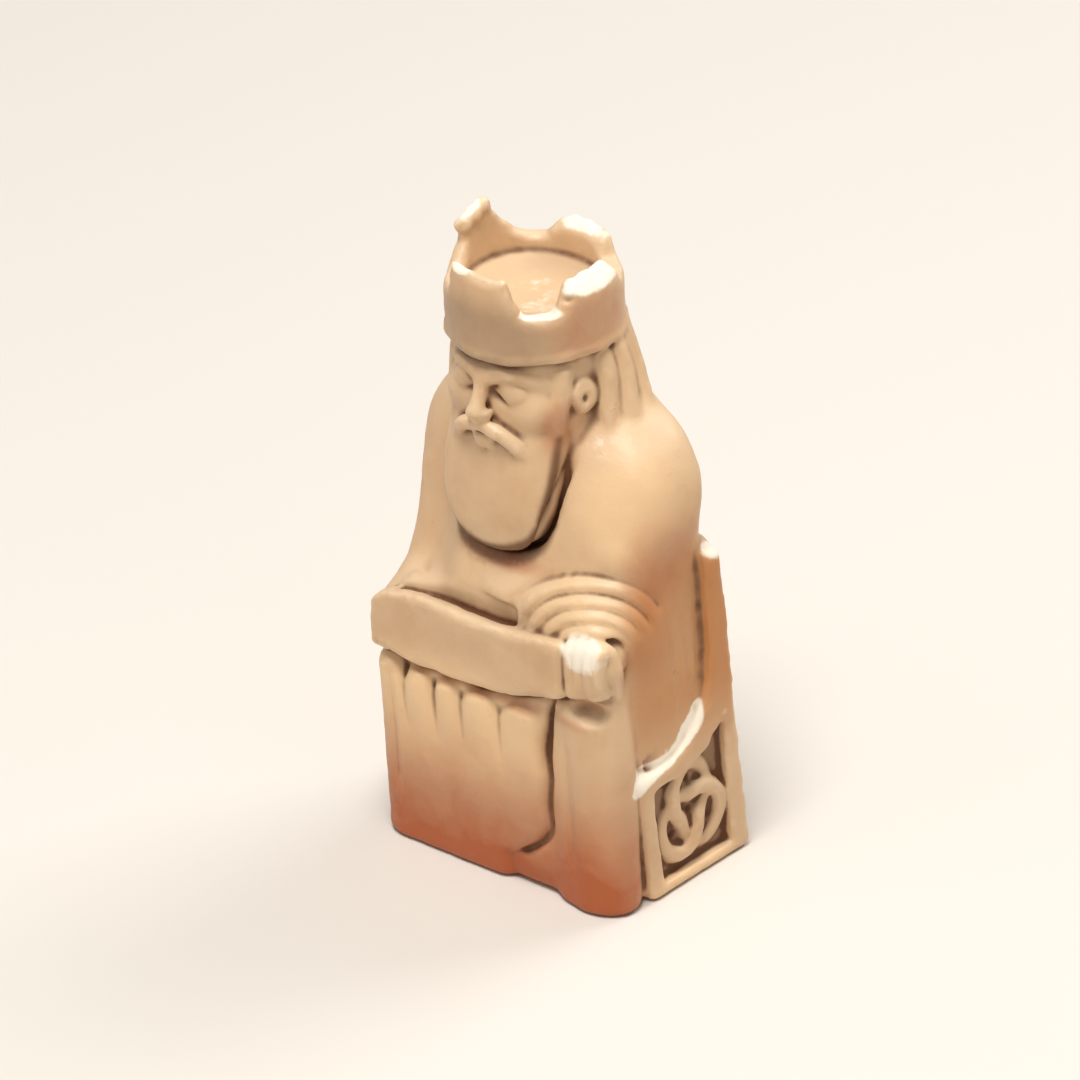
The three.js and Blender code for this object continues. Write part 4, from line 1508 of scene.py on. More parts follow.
    def ear_and_hair(self, clay: Clay, hand: Hand) -> None:
        """Adds one ear, the locks that fall behind it to the shoulder and the short one before it.

        Args:
            clay: what they are added to.
            hand: which side they are on.
        """
        box = self.ear_box
        clay.dig(Lump((9.6, -2.9, 60.9), (1.2, 1.2, 2.6), box, 0.6).on(hand))
        clay.put(Lump(self.ear, (1.25, 1.75, 2.2), box, 0.3).on(hand))
        clay.dig(Lump((10.2, -1.4, 61.7), (0.9, 0.65, 1.0), box, 0.3).on(hand))
        for k, lock in enumerate(self.side_locks):
            line = [(x + 0.1 * math.sin(2.3 * i + k), y, z) for i, (x, y, z) in enumerate(lock)]
            clay.put(Limb(line, self.lock_widths, self.lock_box, 0.6).on(hand))
        clay.put(self.temple.on(hand))

    def shape(self, clay: Clay) -> None:
        """Adds the head with everything on it.

        Args:
            clay: what it is added to.
        """
        wide, deep = self.half
        skull = loft(steady(wide), steady(self.middle - deep), steady(self.middle + deep),
                     (50, 71.5), (2, 2), 3)
        clay.add(skull, ((-11, -10, 48), (11, 12, 73)), 0.6)
        near, far = self.hair_ends
        hair = loft(curve(self.hair_width), steady(near), steady(far), (53, 69), (2.2, 2.4), 3)
        clay.add(hair, ((-17, -3, 50), (17, FAR, 72)), 1.6)
        self.features(clay)
        self.beard(clay)
        for hand in Hand:
            self.ear_and_hair(clay, hand)


@dataclass
class Locks:
    """Wavy locks that fall from under the crown onto the back and fan out."""

    count: int = 9
    spread: float = 14.4
    thickness: float = 1.2
    sway: float = 0.6
    waves: float = 2.6
    top: float = 66.8
    fall: float = 18.6
    depth: float = 9.75
    fan: float = 0.38
    bend: float = 0.038
    taper: float = 0.7
    flattening: float = 0.6
    steps: int = 30
    section: int = 10

    def tree(self, nodes: Tree) -> None:
        """Makes one lock, repeats it across the back of the head, and lays the row round the hair.

        Args:
            nodes: the tree that is filled.
        """
        count, spread, thickness, sway, top, fall, depth, fan, bend = nodes.sizes(
            ("Count", "Spread", "Thickness", "Sway", "Top", "Fall", "Depth", "Fan", "Bend"))
        index = nodes.node("GeometryNodeInputIndex")
        share = index / (self.steps - 1)
        swing = (share * (self.waves * math.tau)).math("SINE") * share.math("SQRT") * sway
        path = nodes.node("ShaderNodeCombineXYZ", None, {
            0: swing, 1: depth + share * thickness, 2: top - share * fall})
        line = nodes.node("GeometryNodeCurvePrimitiveLine")
        line = nodes.node("GeometryNodeResampleCurve", None, {"Curve": line, "Count": self.steps})
        line = nodes.node("GeometryNodeSetPosition", None, {"Geometry": line, "Position": path})
        slim = (1 - share.math("POWER", 4.0) * self.taper) * thickness
        section = nodes.node("GeometryNodeCurvePrimitiveCircle", None, {
            "Resolution": self.section, "Radius": 1.0})
        lock = nodes.node("GeometryNodeCurveToMesh", None, {
            "Curve": line, "Profile Curve": section, "Scale": slim, "Fill Caps": True})
        spot = nodes.node("ShaderNodeCombineXYZ", None, {0: (index / (count - 1) - 0.5) * spread})
        spots = nodes.node("GeometryNodePoints", None, {
            "Count": count.math("ROUND"), "Position": spot})
        copies = nodes.node("GeometryNodeInstanceOnPoints", None, {
            "Points": spots, "Instance": lock})
        row = nodes.node("GeometryNodeRealizeInstances", None, {"Geometry": copies})
        place = nodes.node("GeometryNodeInputPosition")
        across, out, level = (
            nodes.node("ShaderNodeSeparateXYZ", None, {0: place}, axis) for axis in range(3))
        fallen = (top - level) / fall
        laid = nodes.node("ShaderNodeCombineXYZ", None, {
            0: across * (1 + fallen * fan),
            1: out - across * across * bend * (1 - fallen * self.flattening), 2: level})
        nodes.finish(nodes.node("GeometryNodeSetPosition", None, {
            "Geometry": row, "Position": laid}))

    def shape(self, clay: Clay) -> None:
        """Presses the locks into the back of the hair.

        Args:
            clay: what they are pressed into.
        """
        lengths = {"Spread": self.spread, "Thickness": self.thickness, "Sway": self.sway,
                   "Top": self.top, "Fall": self.fall, "Depth": self.depth}
        mesh = run_tree("hair_locks", self.tree, {
            "Count": float(self.count), "Fan": self.fan, "Bend": self.bend / MILLIMETRE,
            **{name: length * MILLIMETRE for name, length in lengths.items()}})
        clay.press(mesh, (0, 1, 0))


@dataclass
class Crown:
    """Crown: a plain band with a foot rim, worn leaves and a dished cap."""

    outer: float = 10.3
    wall: float = 2.1
    middle: float = 1.5
    foot: float = 67.0
    cap_level: float = 72.6
    dish: float = 0.014
    notches: Sequence[float] = (73.6, 74.2, 73.4, 72.8)
    leaves: Sequence[float] = (76.8, 77.0, 78.0, 77.7)
    flats: Sequence[float] = (0.5, 0.46, 0.24, 0.58)
    turns: Sequence[float] = (-0.02, 0.0, -0.09, -0.01)
    shoulders: Sequence[float] = (0.26, 0.26, 0.6, 0.2)
    box: Box = ((-13, -11, 65), (13, 13.2, 81.5))
    knobs: Line = ((-1.5, 77.7, 1.15), (2.1, 78.8, 1.15), (0.3, 78.3, 1.15))
    knob_half: float = 1.15
    knob_box: Box = ((-13, -4, 73), (-6, 8, 81.5))
    pit: Limb = Limb(((8.2, -3.3, 74.9), (9.0, -2.9, 74.7), (9.4, -2.2, 74.9)), (0.3, 0.55, 0.2),
                     ((5, -6, 70), (13, 11, 81)), 0.2)
    slit: Limb = Limb(((-2.8, 10.3, 76.6), (1.0, 10.0, 76.2), (4.4, 9.3, 75.9)), (0.2, 0.34, 0.24),
                      ((-6, 7, 70), (8, 13.2, 81)), 0.15)
    front_nick: Lump = Lump((-3.2, -9.8, 78.2), (3.0, 2.2, 0.8), ((-9, -12, 73), (3, -5, 81)), 0.4)

    @property
    def mean(self) -> float:
        """Radius of the middle of the band's wall."""
        return self.outer - self.wall / 2

    def out(self, x: Field, y: Field) -> Field:
        """Distance from the crown's axis."""
        return np.hypot(x, y - self.middle)

    def edge(self, turn: Field) -> Field:
        """Level of the crown's edge in each direction, from the left ear round by the back.

        Args:
            turn: directions, in radians.

        Returns:
            The levels.
        """
        count = len(self.leaves)
        place = np.mod(turn / math.tau * count, count)
        notch = np.take(self.notches, np.floor(place).astype(int) % count)
        level = notch + 0 * place
        leaves = zip(self.leaves, self.flats, self.turns, self.shoulders)
        for leaf, (top, flat, off, shoulder) in enumerate(leaves):
            away = np.abs(np.mod(place - leaf - off + count / 2, count) - count / 2) * 2
            fall = np.clip((away - flat) / shoulder, 0, 1)
            level = np.maximum(level, top + (notch - top) * np.sin(fall * math.pi / 2) ** 1.2)
        return level

    def band(self, x: Field, y: Field, z: Field) -> Field:
        """Distance to the band with its leaves, thicker on the left and behind.

        Args:
            x, y, z: places on the grid.

        Returns:
            The distances.
        """
        reach, turn = self.out(x, y), np.arctan2(y - self.middle, x)
        thick = 0.5 * np.maximum(np.cos(turn), 0) ** 4 + 0.3 * np.maximum(np.sin(turn), 0) ** 4
        slim = self.wall / 2 - 0.3 * ramp(73, 77, z) + thick
        wall = np.abs(reach - self.mean + thick - 0.15 * ramp(70, 76, z)) - slim
        top = (z - self.edge(turn)) * 0.8
        return pare(pare(wall, top, 0.7), self.foot - z + 0 * wall, 0.5)

    def cap(self, x: Field, y: Field, z: Field) -> Field:
        """Distance to the dished cap inside the band.

        Args:
            x, y, z: places on the grid.

        Returns:
            The distances.
        """
        reach = self.out(x, y)
        top = z - self.cap_level + 1.1 - self.dish * reach**2
        return np.maximum(np.maximum(reach - self.mean, top), 66.5 - z)

    def rim(self, x: Field, y: Field, z: Field) -> Field:
        """Distance to the rim round the band's foot."""
        return np.hypot(self.out(x, y) - self.outer + 0.1, z - self.foot - 0.55) - 0.5

    def shade(self, x: Field, y: Field, z: Field) -> Field:
        """Distance to the groove under the band, shallower behind."""
        gap = np.hypot(self.out(x, y) - self.outer + 0.3, z - self.foot + 0.45)
        return gap - 0.6 + 0.45 * ramp(-2, 2, y)

    def left_break(self, x: Field, y: Field, z: Field) -> Field:
        """Distance to what is broken off the left leaf."""
        return np.maximum(76.0 - z - 0.95 * (x - 9.0) + 0.15 * np.sin(2.2 * y),
                          np.abs(y - 1.6) - 5.6)

    def rear_break(self, x: Field, y: Field, z: Field) -> Field:
        """Distance to what is broken off the rear leaf."""
        return np.maximum(76.6 - z + 0.65 * (y - 11.2) + 0.1 * np.sin(2.6 * x),
                          np.abs(x - 0.2) - 5.2)

    def shape(self, clay: Clay) -> None:
        """Adds the band, the cap, the rim and the knobbed tip, and breaks the worn leaves.

        Args:
            clay: what they are added to.
        """
        clay.cut(self.shade, self.box, 0.4)
        clay.add(self.cap, self.box, 0.3)
        clay.add(self.band, self.box, 0.2)
        clay.add(self.rim, self.box, 0.35)
        for y, z, size in self.knobs:
            clay.put(Lump((-self.mean, self.middle + y, z), (self.knob_half, size, self.knob_half),
                          self.knob_box, 0.25))
        clay.dig(Lump((-self.mean - 1.2, self.middle - 2.6, 75.8), (1.8, 1.0, 0.8), self.knob_box,
                      0.4),
                 Lump((-self.mean - 1.3, self.middle - 0.1, 77.2), (0.8, 0.45, 0.5), self.knob_box,
                      0.2))
        clay.cut(self.left_break, ((7.2, -5, 70), (13, 8, 81)), 0.25)
        clay.cut(self.rear_break, ((-6, 8.2, 70), (7, 13.2, 81)), 0.25)
        clay.dig(self.pit, self.slit, self.front_nick)


@dataclass
class Wear:
    """Softening, worn edges and small unevenness of a cast that has been handled for years."""

    soften: float = 0.24
    edge_reach: float = 0.7
    edge_wear: float = 1.6
    edge_onset: float = 0.05
    edge_limit: float = 0.25
    swell: float = 0.09
    ripple: float = 0.035
    foot_rounding: float = 1.2

    def weather(self, clay: Clay) -> None:
        """Wears the whole casting and trims its flat underside.

        Args:
            clay: the casting.
        """
        clay.field = clay.blurred(clay.field, self.soften)
        edges = np.clip(-clay.fullness(self.edge_reach) - self.edge_onset, 0, self.edge_limit)
        patchy = np.clip(0.55 + clay.grain(2.3, 5) + 0.6 * clay.grain(1.0, 6), 0, 1.6)
        clay.field += self.edge_wear * edges * patchy
        clay.field -= self.swell * clay.grain(4.2, 7) + self.ripple * clay.grain(1.3, 8)
        floor = -clay.axes[2].reshape(1, 1, -1)
        clay.field = pare(clay.field, floor + 0 * clay.field, self.foot_rounding)
        clay.settle()


@dataclass(frozen=True)
class Chip:
    """A patch where the surface has been knocked or rubbed, or where colour, light or shade is
    painted on.
    """

    centre: Point
    sizes: Point
    share: float = 1.0
    fade: Span = (0.45, 1.2)

    def cover(self, points: Field) -> Field:
        """How much the patch covers each point, from 0 to 1."""
        away = np.sqrt((((points - self.centre) / self.sizes) ** 2).sum(1))
        return self.share * (1 - ramp(*self.fade, away))


@dataclass(frozen=True)
class Rub:
    """A run of rubbed surface along a line, or of shade painted on along it."""

    line: Line
    widths: Sequence[float]
    share: float = 1.0
    fade: Span = (-0.3, 0.6)

    def cover(self, points: Field) -> Field:
        """How much the run covers each point, from 0 to 1."""
        return self.share * (1 - ramp(*self.fade, rod(self.line, self.widths)(*points.T)))


# Chalky chips on the crown's leaves and the throne's rails, scrolls and posts are wear; the patches
# on the fist, the left shoulder, the crown's cap and the sword's top edge are painted highlights.
CHIPS_AND_HIGHLIGHTS = (
    Chip((9.2, 1.8, 76.0), (2.2, 5.8, 1.9)),
    Chip((6.4, -4.8, 73.2), (3.6, 3.4, 0.8)),
    Chip((0.4, 9.9, 76.7), (5.4, 2.4, 1.5)),
    Chip((-9.6, 1.4, 79.0), (1.3, 2.6, 1.3)),
    Chip((-3.6, -8.2, 77.6), (3.6, 1.4, 0.8)),
    Rub(((18.3, -7.0, 15.8), (18.5, -5.4, 16.5), (18.5, -2.6, 16.8), (18.5, 0.0, 17.3),
         (18.4, 2.0, 18.5), (18.4, 4.0, 20.2), (18.2, 5.4, 21.9)),
        (1.3, 1.4, 0.95, 0.8, 1.1, 1.15, 0.5)),
    Chip((18.4, 8.6, 19.3), (1.3, 1.2, 1.0)),
    Chip((18.6, 8.7, 40.6), (1.4, 1.8, 1.9)),
    Chip((-18.4, -6.0, 16.4), (1.8, 2.2, 1.4), 0.85),
    Rub(((-18.5, -1.6, 16.9), (-18.5, 0.6, 17.4), (-18.4, 2.2, 18.6)), (0.5, 0.8, 0.4), 0.8),
    Chip((-18.6, 9.4, 40.9), (1.6, 1.6, 1.4), 0.8),
    Chip((15.6, -10.6, 34.5), (3.6, 2.4, 3.1)),
    Chip((10.0, 1.0, 55.2), (4.6, 4.6, 2.6), 0.5),
    Chip((1.0, 0.0, 72.0), (9.2, 9.2, 2.2), 0.3),
    Chip((-2.0, -11.8, 35.2), (14.0, 1.4, 1.2), 0.3),
)
# Painted shade on the crown's sides, beside the face, on the mantle's sides, under the beard, under
# the sword, under the fist and in the slot by the wrist; the two low patches in front are painted
# warm reflected light on the hem, partly real staining.
SHADE_AND_REFLECTION_PATCHES = (
    Chip((11.4, 0.0, 70.8), (4.6, 9.0, 5.0), 0.62),
    Chip((14.5, -12.0, 2.0), (6.0, 4.0, 9.0), 0.45),
    Chip((-4.0, -12.0, 0.0), (20.0, 4.0, 5.0), 0.2),
    Chip((-9.5, -4.0, 69.6), (3.0, 4.0, 2.6), 0.5),
    Chip((8.6, -4.6, 58.5), (3.0, 3.4, 4.2), 0.7),
    Chip((19.5, -2.0, 43.0), (3.4, 9.0, 7.0), 0.5),
    Chip((-19.5, -2.0, 43.0), (3.4, 9.0, 7.0), 0.5),
    Chip((1.0, -7.0, 41.2), (7.5, 2.4, 1.6), 0.9),
    Chip((0.0, -11.2, 24.6), (18.0, 1.2, 1.1), 0.7),
    Chip((16.2, -10.4, 27.0), (3.2, 2.0, 1.1), 0.35),
    Chip((18.9, -7.0, 31.4), (1.4, 1.6, 2.6), 0.8),
)
# Painted shade on the crown band's front, along the top of the sword and on the crown's cap.
PAINTED_SHADE_PATCHES = (
    Chip((0.5, -8.6, 70.0), (11.5, 8.0, 5.4), 0.6),
    Chip((-2.0, -10.2, 35.0), (17.0, 1.4, 1.2), 0.5),
    Chip((0.0, 1.5, 71.6), (9.6, 9.6, 2.2), 0.35),
)
# Painted light on the pleats, the left shoulder, the sleeve above the fist, the foot of the left side
# panel and the crown's cap.
PAINTED_LIGHT_PATCHES = (
    Chip((-5.0, -12.0, 19.0), (18.0, 4.0, 9.5), 0.95),
    Chip((15.5, -1.0, 49.0), (7.0, 8.0, 7.0), 0.6),
    Chip((14.0, -8.0, 38.0), (7.0, 6.0, 6.0), 0.4),
    Chip((19.0, 1.0, 0.5), (2.0, 9.0, 3.4), 0.7),
    Chip((0.0, 0.0, 72.0), (7.6, 7.6, 2.0), 0.35),
)
# Painted shade under the beard's foot, beside it on the chest, and under the fist.
PAINTED_CREVICE_SHADES = (
    Rub(((-7.7, -7.0, 51.0), (-6.8, -8.0, 45.8), (-4.2, -8.5, 43.4), (0.0, -8.7, 42.4),
         (4.2, -8.5, 43.4), (6.8, -7.6, 45.8), (8.0, -6.2, 51.0), (8.4, -4.6, 57.0)),
        (0.5, 0.8, 0.9, 0.9, 0.9, 0.8, 0.7, 0.5)),
    Rub(((-8.7, -5.4, 50.0), (-7.9, -6.0, 46.0), (-6.4, -6.6, 43.6), (-3.8, -7.3, 42.0),
         (0.0, -7.8, 41.4), (3.8, -7.4, 42.0), (6.4, -6.4, 43.8), (7.8, -5.4, 46.5)),
        (0.3, 0.9, 1.1, 1.1, 1.0, 0.9, 0.8, 0.6), 0.9),
    Rub(((13.4, -11.0, 27.9), (16.2, -10.8, 27.9), (18.6, -9.4, 28.4)), (0.4, 0.7, 0.5), 0.8),
)


def covered(patches: Sequence[Chip | Rub], points: Field) -> Field:
    """How much any of the patches covers each point, from 0 to 1."""
    return np.max([patch.cover(points) for patch in patches], axis=0)


@dataclass
class Skin:
    """The casting's surface as a mesh, with its paint guides."""

    clay: Clay
    limit: int = 190_000
    smoothing: float = 0.3
    passes: int = 2
    close_reach: float = 0.55
    broad_reach: float = 1.7
    hollow_gain: float = 4.6
    deep_gain: float = 3.4
    edge_gain: float = 4.5
    edge_onset: float = 0.12
    panel_wash: float = 0.75
    hem_reflection_behind: float = 0.85

    @staticmethod
    def largest(points: Field, faces: Field) -> tuple[Field, Field]:
        """The skin without the crumbs that hang free of it.

        Args:
            points: the skin's points.
            faces: its four-cornered faces.

        Returns:
            The points and faces of the largest connected piece.
        """
        label = np.arange(len(points))
        while True:
            before = label.copy()
            lowest = label[faces].min(axis=1)
            for corner in faces.T:
                np.minimum.at(label, label[corner], lowest)
                label = label[label]
            if (label == before).all():
                break
        kept = label == np.bincount(label).argmax()
        index = np.cumsum(kept) - 1
        return points[kept], index[faces[kept[faces[:, 0]]]]

    def thinned(self, points: Field, faces: Field) -> bpy.types.Mesh:
        """A mesh of the skin, smoothed a little.

        Args:
            points: the skin's points, in millimetres.
            faces: its four-cornered faces.

        Returns:
            The mesh, with no more triangles than the limit.
        """
        mesh = bpy.data.meshes.new("king_skin")
        mesh.vertices.add(len(points))
        mesh.vertices.foreach_set("co", (points * MILLIMETRE).ravel())
        mesh.loops.add(faces.size)
        mesh.loops.foreach_set("vertex_index", faces.ravel())
        mesh.polygons.add(len(faces))
        mesh.polygons.foreach_set("loop_start", np.arange(0, faces.size, 4))
        mesh.update(calc_edges=True)
        mesh.validate()
        holder = bpy.data.objects.new("king_skin", mesh)
        bpy.context.scene.collection.objects.link(holder)
        smooth = holder.modifiers.new("smooth", "SMOOTH")
        smooth.factor, smooth.iterations = self.smoothing, self.passes
        share = self.limit / (2 * len(faces))
        if share < 1:
            holder.modifiers.new("thin", "DECIMATE").ratio = share
        return evaluated(holder)

    def guides(self, points: Field, up: Field) -> dict[str, Field]:
        """Paint guides: where each colour of the finish lies, painted light and shade among them.

        Args:
            points: the mesh's points, in millimetres.
            up: how far each point's surface faces up, from -1 to 1.

        Returns:
            Values for each point by the guide's name.
        """
        out, y, z = np.abs(points[:, 0]), points[:, 1], points[:, 2]
        close = self.clay.sampled(self.clay.fullness(self.close_reach), points)
        broad = self.clay.sampled(self.clay.fullness(self.broad_reach), points)
        off_floor = ramp(0.3, 2.5, z)
        # Sides of the mantle and the throne, where painted shade and warm reflected light go.
        side = ramp(16.6, 19.2, out) * (1 - ramp(38, 52, z)) * ramp(-8, -5, y)
        panels = Throne().sunk(points) * self.panel_wash
        return {
            "hollow": np.clip(close * self.hollow_gain, 0, 1) * off_floor,
            "deep": np.clip(broad * self.deep_gain, 0, 1) * off_floor,
            "edge": np.clip(-close * self.edge_gain - self.edge_onset, 0, 1) * off_floor,
            # How far each point faces up; the finish paints light onto the tops from it.
            "upper": up * 0.5 + 0.5,
            "chalk_and_highlight": covered(CHIPS_AND_HIGHLIGHTS, points),
            "shade_and_reflection": covered(SHADE_AND_REFLECTION_PATCHES, points),
            "painted_shade": covered(PAINTED_SHADE_PATCHES, points),
            "painted_light": covered(PAINTED_LIGHT_PATCHES, points),
            # Antique wash on the sunk panel floors, and painted shade under the beard and the fist.
            "panel_wash_and_shade": np.maximum(panels, covered(PAINTED_CREVICE_SHADES, points)),
            "side": side * (1 - ramp(9.6, 10.8, y)),
            # Lower robe in front, where warm reflected light is painted on, fading towards the back.
            "foot": (1 - side) * (1 - self.hem_reflection_behind * ramp(-7, -1, y)),
        }

    def made(self) -> bpy.types.Mesh:
        """The finished mesh, with its paint guides as attributes.

        Returns:
            The mesh, in metres.
        """
        mesh = self.thinned(*self.largest(*self.clay.skinned()))
        places = np.empty(len(mesh.vertices) * 3)
        mesh.vertices.foreach_get("co", places)
        normals = np.empty(len(mesh.vertices) * 3)
        mesh.vertices.foreach_get("normal", normals)
        guides = self.guides(places.reshape(-1, 3) / MILLIMETRE, normals.reshape(-1, 3)[:, 2])
        for name, values in guides.items():
            layer = mesh.attributes.new(name, "FLOAT", "POINT")
            layer.data.foreach_set("value", values.astype(np.float32))
        mesh.shade_smooth()
        return mesh


def linear(red: int, green: int, blue: int) -> tuple[float, float, float, float]:
    """Scene colour of an sRGB colour."""
    parts = [c / 255 for c in (red, green, blue)]
    return (*(c / 12.92 if c <= 0.04045 else ((c + 0.055) / 1.055) ** 2.4 for c in parts), 1.0)


@dataclass(frozen=True)
class CastResin:
    """Cream casting resin with a brown antique wash in its hollows, chalky chips, and painted shade,
    highlights and warm reflected light.
    """

    name: str = "cast_resin"
    body: Paint = (208, 174, 135)
    warm: Paint = (194, 152, 112)
    pale: Paint = (226, 203, 172)
    wash: Paint = (98, 58, 28)
    side_reflection_tint: Paint = (184, 116, 52)
    stain_and_painted_light: Paint = (170, 86, 38)
    painted_shade_tint: Paint = (150, 122, 94)
    painted_light: Paint = (236, 200, 154)
    chalk_and_highlight: Paint = (238, 228, 210)
    roughness: float = 0.48
    broad_scale: float = 70
    mottle_scale: float = 240
    fine_scale: float = 900
    speck_scale: float = 2600
    hem_reflection_fade: Span = (0.001, 0.022)
    hem_reflection_wander: float = 0.012
    side_reflection_fade: Span = (0.012, 0.026)
    freckle_share: float = 0.2
    bump_strength: float = 0.28
    bump_depth: float = 0.00035
    refraction: float = 1.5
    glow_share: float = 0.12
    glow_radius: Tint = (1.0, 0.6, 0.35)
    glow_depth: float = 0.0012

    def made(self) -> bpy.types.Material:
        """Builds the material from the paint guides and noise on object coordinates.

        Returns:
            The material.
        """
        material = bpy.data.materials.new(self.name)
        material.use_nodes = True
        material.node_tree.nodes.clear()
        nodes = NodeMaker(material.node_tree)
        place = nodes.node("ShaderNodeTexCoord", output="Object")

        def guide(name: str) -> Wire:
            """Paint guide of the mesh."""
            return nodes.node("ShaderNodeAttribute", {"attribute_name": name}, output="Fac")

        def cloud(scale: float, detail: float, twist: float = 0.0) -> Wire:
            """Soft noise, with its scale in bumps to the metre."""
            return nodes.node("ShaderNodeTexNoise", None, {
                "Vector": place, "Scale": scale, "Detail": detail, "Distortion": twist})

        def tinted(under: Wire | Paint, over: Paint, share: Wire) -> Wire:
            """One colour laid over another."""
            return nodes.node("ShaderNodeMix", {"data_type": "RGBA"}, {
                0: share, 6: under if isinstance(under, Wire) else linear(*under),
                7: linear(*over)}, 2)

        hollow, deep, edge, upper = (guide(name) for name in ("hollow", "deep", "edge", "upper"))
        broad, mottle = cloud(self.broad_scale, 4.0), cloud(self.mottle_scale, 5.0, 0.4)
        fine, specks = cloud(self.fine_scale, 3.0), cloud(self.speck_scale, 2.0)
        level = nodes.node("ShaderNodeSeparateXYZ", None, {0: place}, 2)
        # Painted warm reflected light on the lower robe, redder towards the bottom, partly real
        # staining.
        faded = (level + (broad - 0.5) * self.hem_reflection_wander).step(*self.hem_reflection_fade)
        low = (1 - faded) * guide("foot")

        warmth = broad.step(0.42, 0.62) * 0.4 + mottle.step(0.45, 0.7) * 0.25
        colour = tinted(self.body, self.warm, warmth.clamped())
        # Paler where the surface faces up is painted top light; paler on the rounded edges is wear.
        lit_tops_and_worn_edges = upper.step(0.6, 1.0) * 0.4 + edge * 0.6 * fine.step(0.3, 0.6)
        colour = tinted(colour, self.pale, lit_tops_and_worn_edges.clamped())
        # Painted shade and painted warm reflected light on the sides of the mantle and the throne.
        side_reflection = guide("side") * level.step(*self.side_reflection_fade) * 0.85
        colour = tinted(colour, self.side_reflection_tint, side_reflection.clamped())
        # Painted shade, darkening the crown band, the sword's top and the cap.
        colour = tinted(colour, self.painted_shade_tint, guide("painted_shade") * (0.7 + mottle * 0.6))
        # Painted light: paler patches laid on the surface.
        colour = tinted(colour, self.painted_light, guide("painted_light") * (0.7 + broad * 0.4))
        # Brick tint for painted shade and painted warm reflected light, for the hem's real staining,
        # and for the broad hollows of the antique wash.
        shade_and_reflection = guide("shade_and_reflection") * (mottle * 0.8 + 0.4) * 0.8
        worn = low * (0.68 + mottle * 0.5) + deep.step(0.2, 0.8) * 0.3 + shade_and_reflection
        colour = tinted(colour, self.stain_and_painted_light, worn.clamped())
        sunk = hollow.step(0.14, 0.75) * (0.6 + fine * 0.6) + deep.step(0.45, 1.0) * 0.4
        # Antique wash in the hollows, and painted shade in the lines under the beard and the fist.
        wash_and_shade_share = (sunk + guide("panel_wash_and_shade") * 0.85).clamped()
        colour = tinted(colour, self.wash, wash_and_shade_share)
        freckles = (1 - mottle.step(0.27, 0.36)) * (1 - specks.step(0.36, 0.44))
        colour = tinted(colour, self.wash, freckles * self.freckle_share)
        # Chalky chips, and painted highlights in the same pale colour.
        ragged = guide("chalk_and_highlight") + (fine - 0.5) * 0.6 + (mottle - 0.5) * 1.0
        chips_and_highlights = (ragged.step(0.3, 0.8) * (1 - wash_and_shade_share)).clamped()
        colour = tinted(colour, self.chalk_and_highlight, chips_and_highlights)

        dulled = self.roughness + wash_and_shade_share * 0.22 + chips_and_highlights * 0.2
        rough = (dulled + (mottle - 0.5) * 0.16 - edge * 0.06).clamped()
        bump = fine * 0.5 + specks * 0.3 + chips_and_highlights * mottle * 0.6
        normal = nodes.node("ShaderNodeBump", None, {
            "Height": bump, "Strength": self.bump_strength, "Distance": self.bump_depth})
        shader = nodes.node("ShaderNodeBsdfPrincipled", None, {
            "Base Color": colour, "Roughness": rough, "Normal": normal, "IOR": self.refraction,
            "Subsurface Weight": self.glow_share, "Subsurface Radius": self.glow_radius,
            "Subsurface Scale": self.glow_depth})
        out = material.node_tree.nodes.new("ShaderNodeOutputMaterial")
        material.node_tree.links.new(shader.socket, out.inputs["Surface"])
        return material


@dataclass(frozen=True)
class PaleFloor:
    """Plain pale paper."""

    name: str = "pale_floor"
    colour: Paint = (216, 211, 204)
    roughness: float = 0.7

    def made(self) -> bpy.types.Material:
        """Builds the material.

        Returns:
            The material.
        """
        material = bpy.data.materials.new(self.name)
        material.use_nodes = True
        shader = material.node_tree.nodes["Principled BSDF"]
        shader.inputs["Base Color"].default_value = linear(*self.colour)
        shader.inputs["Roughness"].default_value = self.roughness
        return material


@dataclass(frozen=True)
class Lamp:
    """A soft square light."""

    name: str
    place: Point
    size: float
    power: float
    tint: Tint

    def shine(self, aim: Point) -> None:
        """Adds the light, turned to a point.

        Args:
            aim: the point, in metres.
        """
        light = bpy.data.lights.new(self.name, "AREA")
        light.energy, light.size, light.color = self.power, self.size, self.tint
        holder = bpy.data.objects.new(self.name, light)
        holder.location = self.place
        turn = (Vector(aim) - Vector(self.place)).to_track_quat("-Z", "Y")
        holder.rotation_euler = turn.to_euler()
        bpy.context.scene.collection.objects.link(holder)


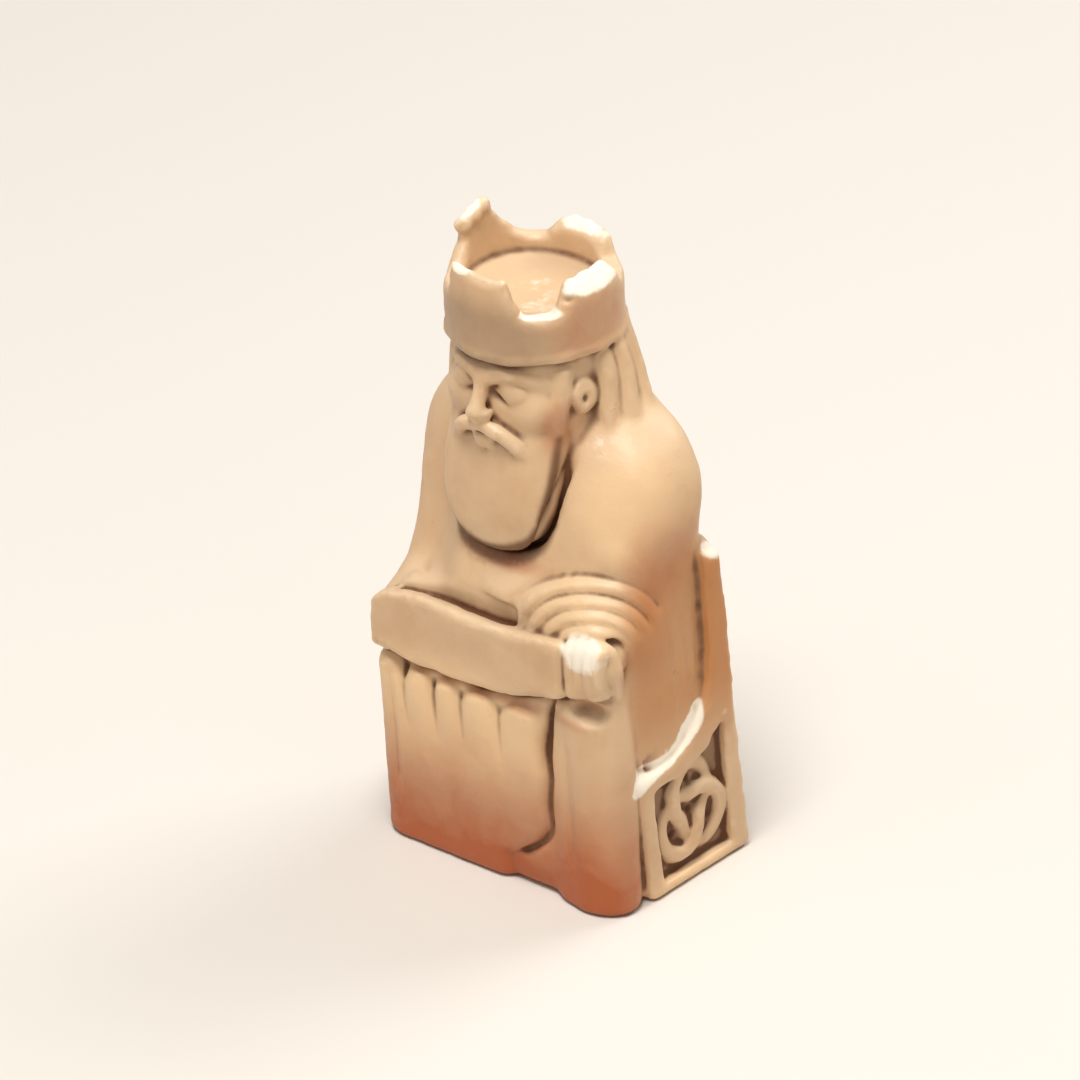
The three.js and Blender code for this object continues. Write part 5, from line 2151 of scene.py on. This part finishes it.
@dataclass
class Studio:
    """Pale floor, soft lights and the camera at the photo's viewing angle."""

    camera_place: Point = (0.841, -0.902, 0.723)
    aim: Point = (0.0, 0.0, 0.0395)
    view_angle: float = 5.05
    roll: float = -3.4
    clip: Span = (0.01, 20)
    reach: float = 3.0
    lamps: Sequence[Lamp] = (
        Lamp("key", (0.12, -0.26, 0.96), 0.35, 9.5, (1.0, 0.97, 0.93)),
        Lamp("fill", (-0.5, -0.8, 0.3), 0.7, 1.2, (1.0, 0.97, 0.93)),
        Lamp("side", (0.8, -0.3, 0.12), 0.5, 1.0, (1.0, 0.93, 0.85)),
        Lamp("back", (0.15, 0.55, 0.6), 0.4, 3.0, (1.0, 0.98, 0.95)))
    air: Paint = (238, 236, 232)
    air_light: float = 0.33

    def floor(self) -> None:
        """Adds the floor."""
        mesh = bpy.data.meshes.new("floor")
        signs = ((-1, -1), (1, -1), (1, 1), (-1, 1))
        corners = [(self.reach * x, self.reach * y, 0) for x, y in signs]
        mesh.from_pydata(corners, [], [(0, 1, 2, 3)])
        mesh.materials.append(PaleFloor().made())
        floor = bpy.data.objects.new("floor", mesh)
        bpy.context.scene.collection.objects.link(floor)

    def camera(self) -> None:
        """Adds the camera, aimed at the king and rolled as the photo is."""
        lens = bpy.data.cameras.new("camera")
        lens.sensor_fit, lens.angle = "HORIZONTAL", math.radians(self.view_angle)
        lens.clip_start, lens.clip_end = self.clip
        camera = bpy.data.objects.new("camera", lens)
        look = (Vector(self.aim) - Vector(self.camera_place)).to_track_quat("-Z", "Y")
        roll = Matrix.Rotation(math.radians(self.roll), 4, "Z")
        place = Matrix.Translation(self.camera_place)
        camera.matrix_world = place @ look.to_matrix().to_4x4() @ roll
        bpy.context.scene.collection.objects.link(camera)
        bpy.context.scene.camera = camera

    def build(self) -> None:
        """Adds everything round the king."""
        self.floor()
        for lamp in self.lamps:
            lamp.shine(self.aim)
        world = bpy.data.worlds.new("studio")
        world.use_nodes = True
        colour, strength = world.node_tree.nodes["Background"].inputs[:2]
        colour.default_value, strength.default_value = linear(*self.air), self.air_light
        bpy.context.scene.world = world
        bpy.context.scene.view_settings.view_transform = "Standard"
        self.camera()


def main() -> None:
    """Builds the casting, dresses it and sets the studio."""
    logging.basicConfig(level=logging.INFO, format="%(name)s: %(message)s")
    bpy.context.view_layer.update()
    clay = Clay(CLAY_BOX, FINE_CELL)
    for part in (Robe(), Mantle(), Throne(), SwordAndHands(), Head(), Locks(), Crown()):
        part.shape(clay)
        log.info("shaped %s", type(part).__name__)
    Wear().weather(clay)
    mesh = Skin(clay).made()
    mesh.materials.append(CastResin().made())
    king = bpy.data.objects.new("cast_king", mesh)
    bpy.context.scene.collection.objects.link(king)
    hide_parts("seated_king")
    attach(king, "root")
    triangles = sum(len(face.vertices) - 2 for face in mesh.polygons)
    log.info("cast %s with %d triangles", king.name, triangles)
    Studio().build()


if __name__ == "__main__":
    main()
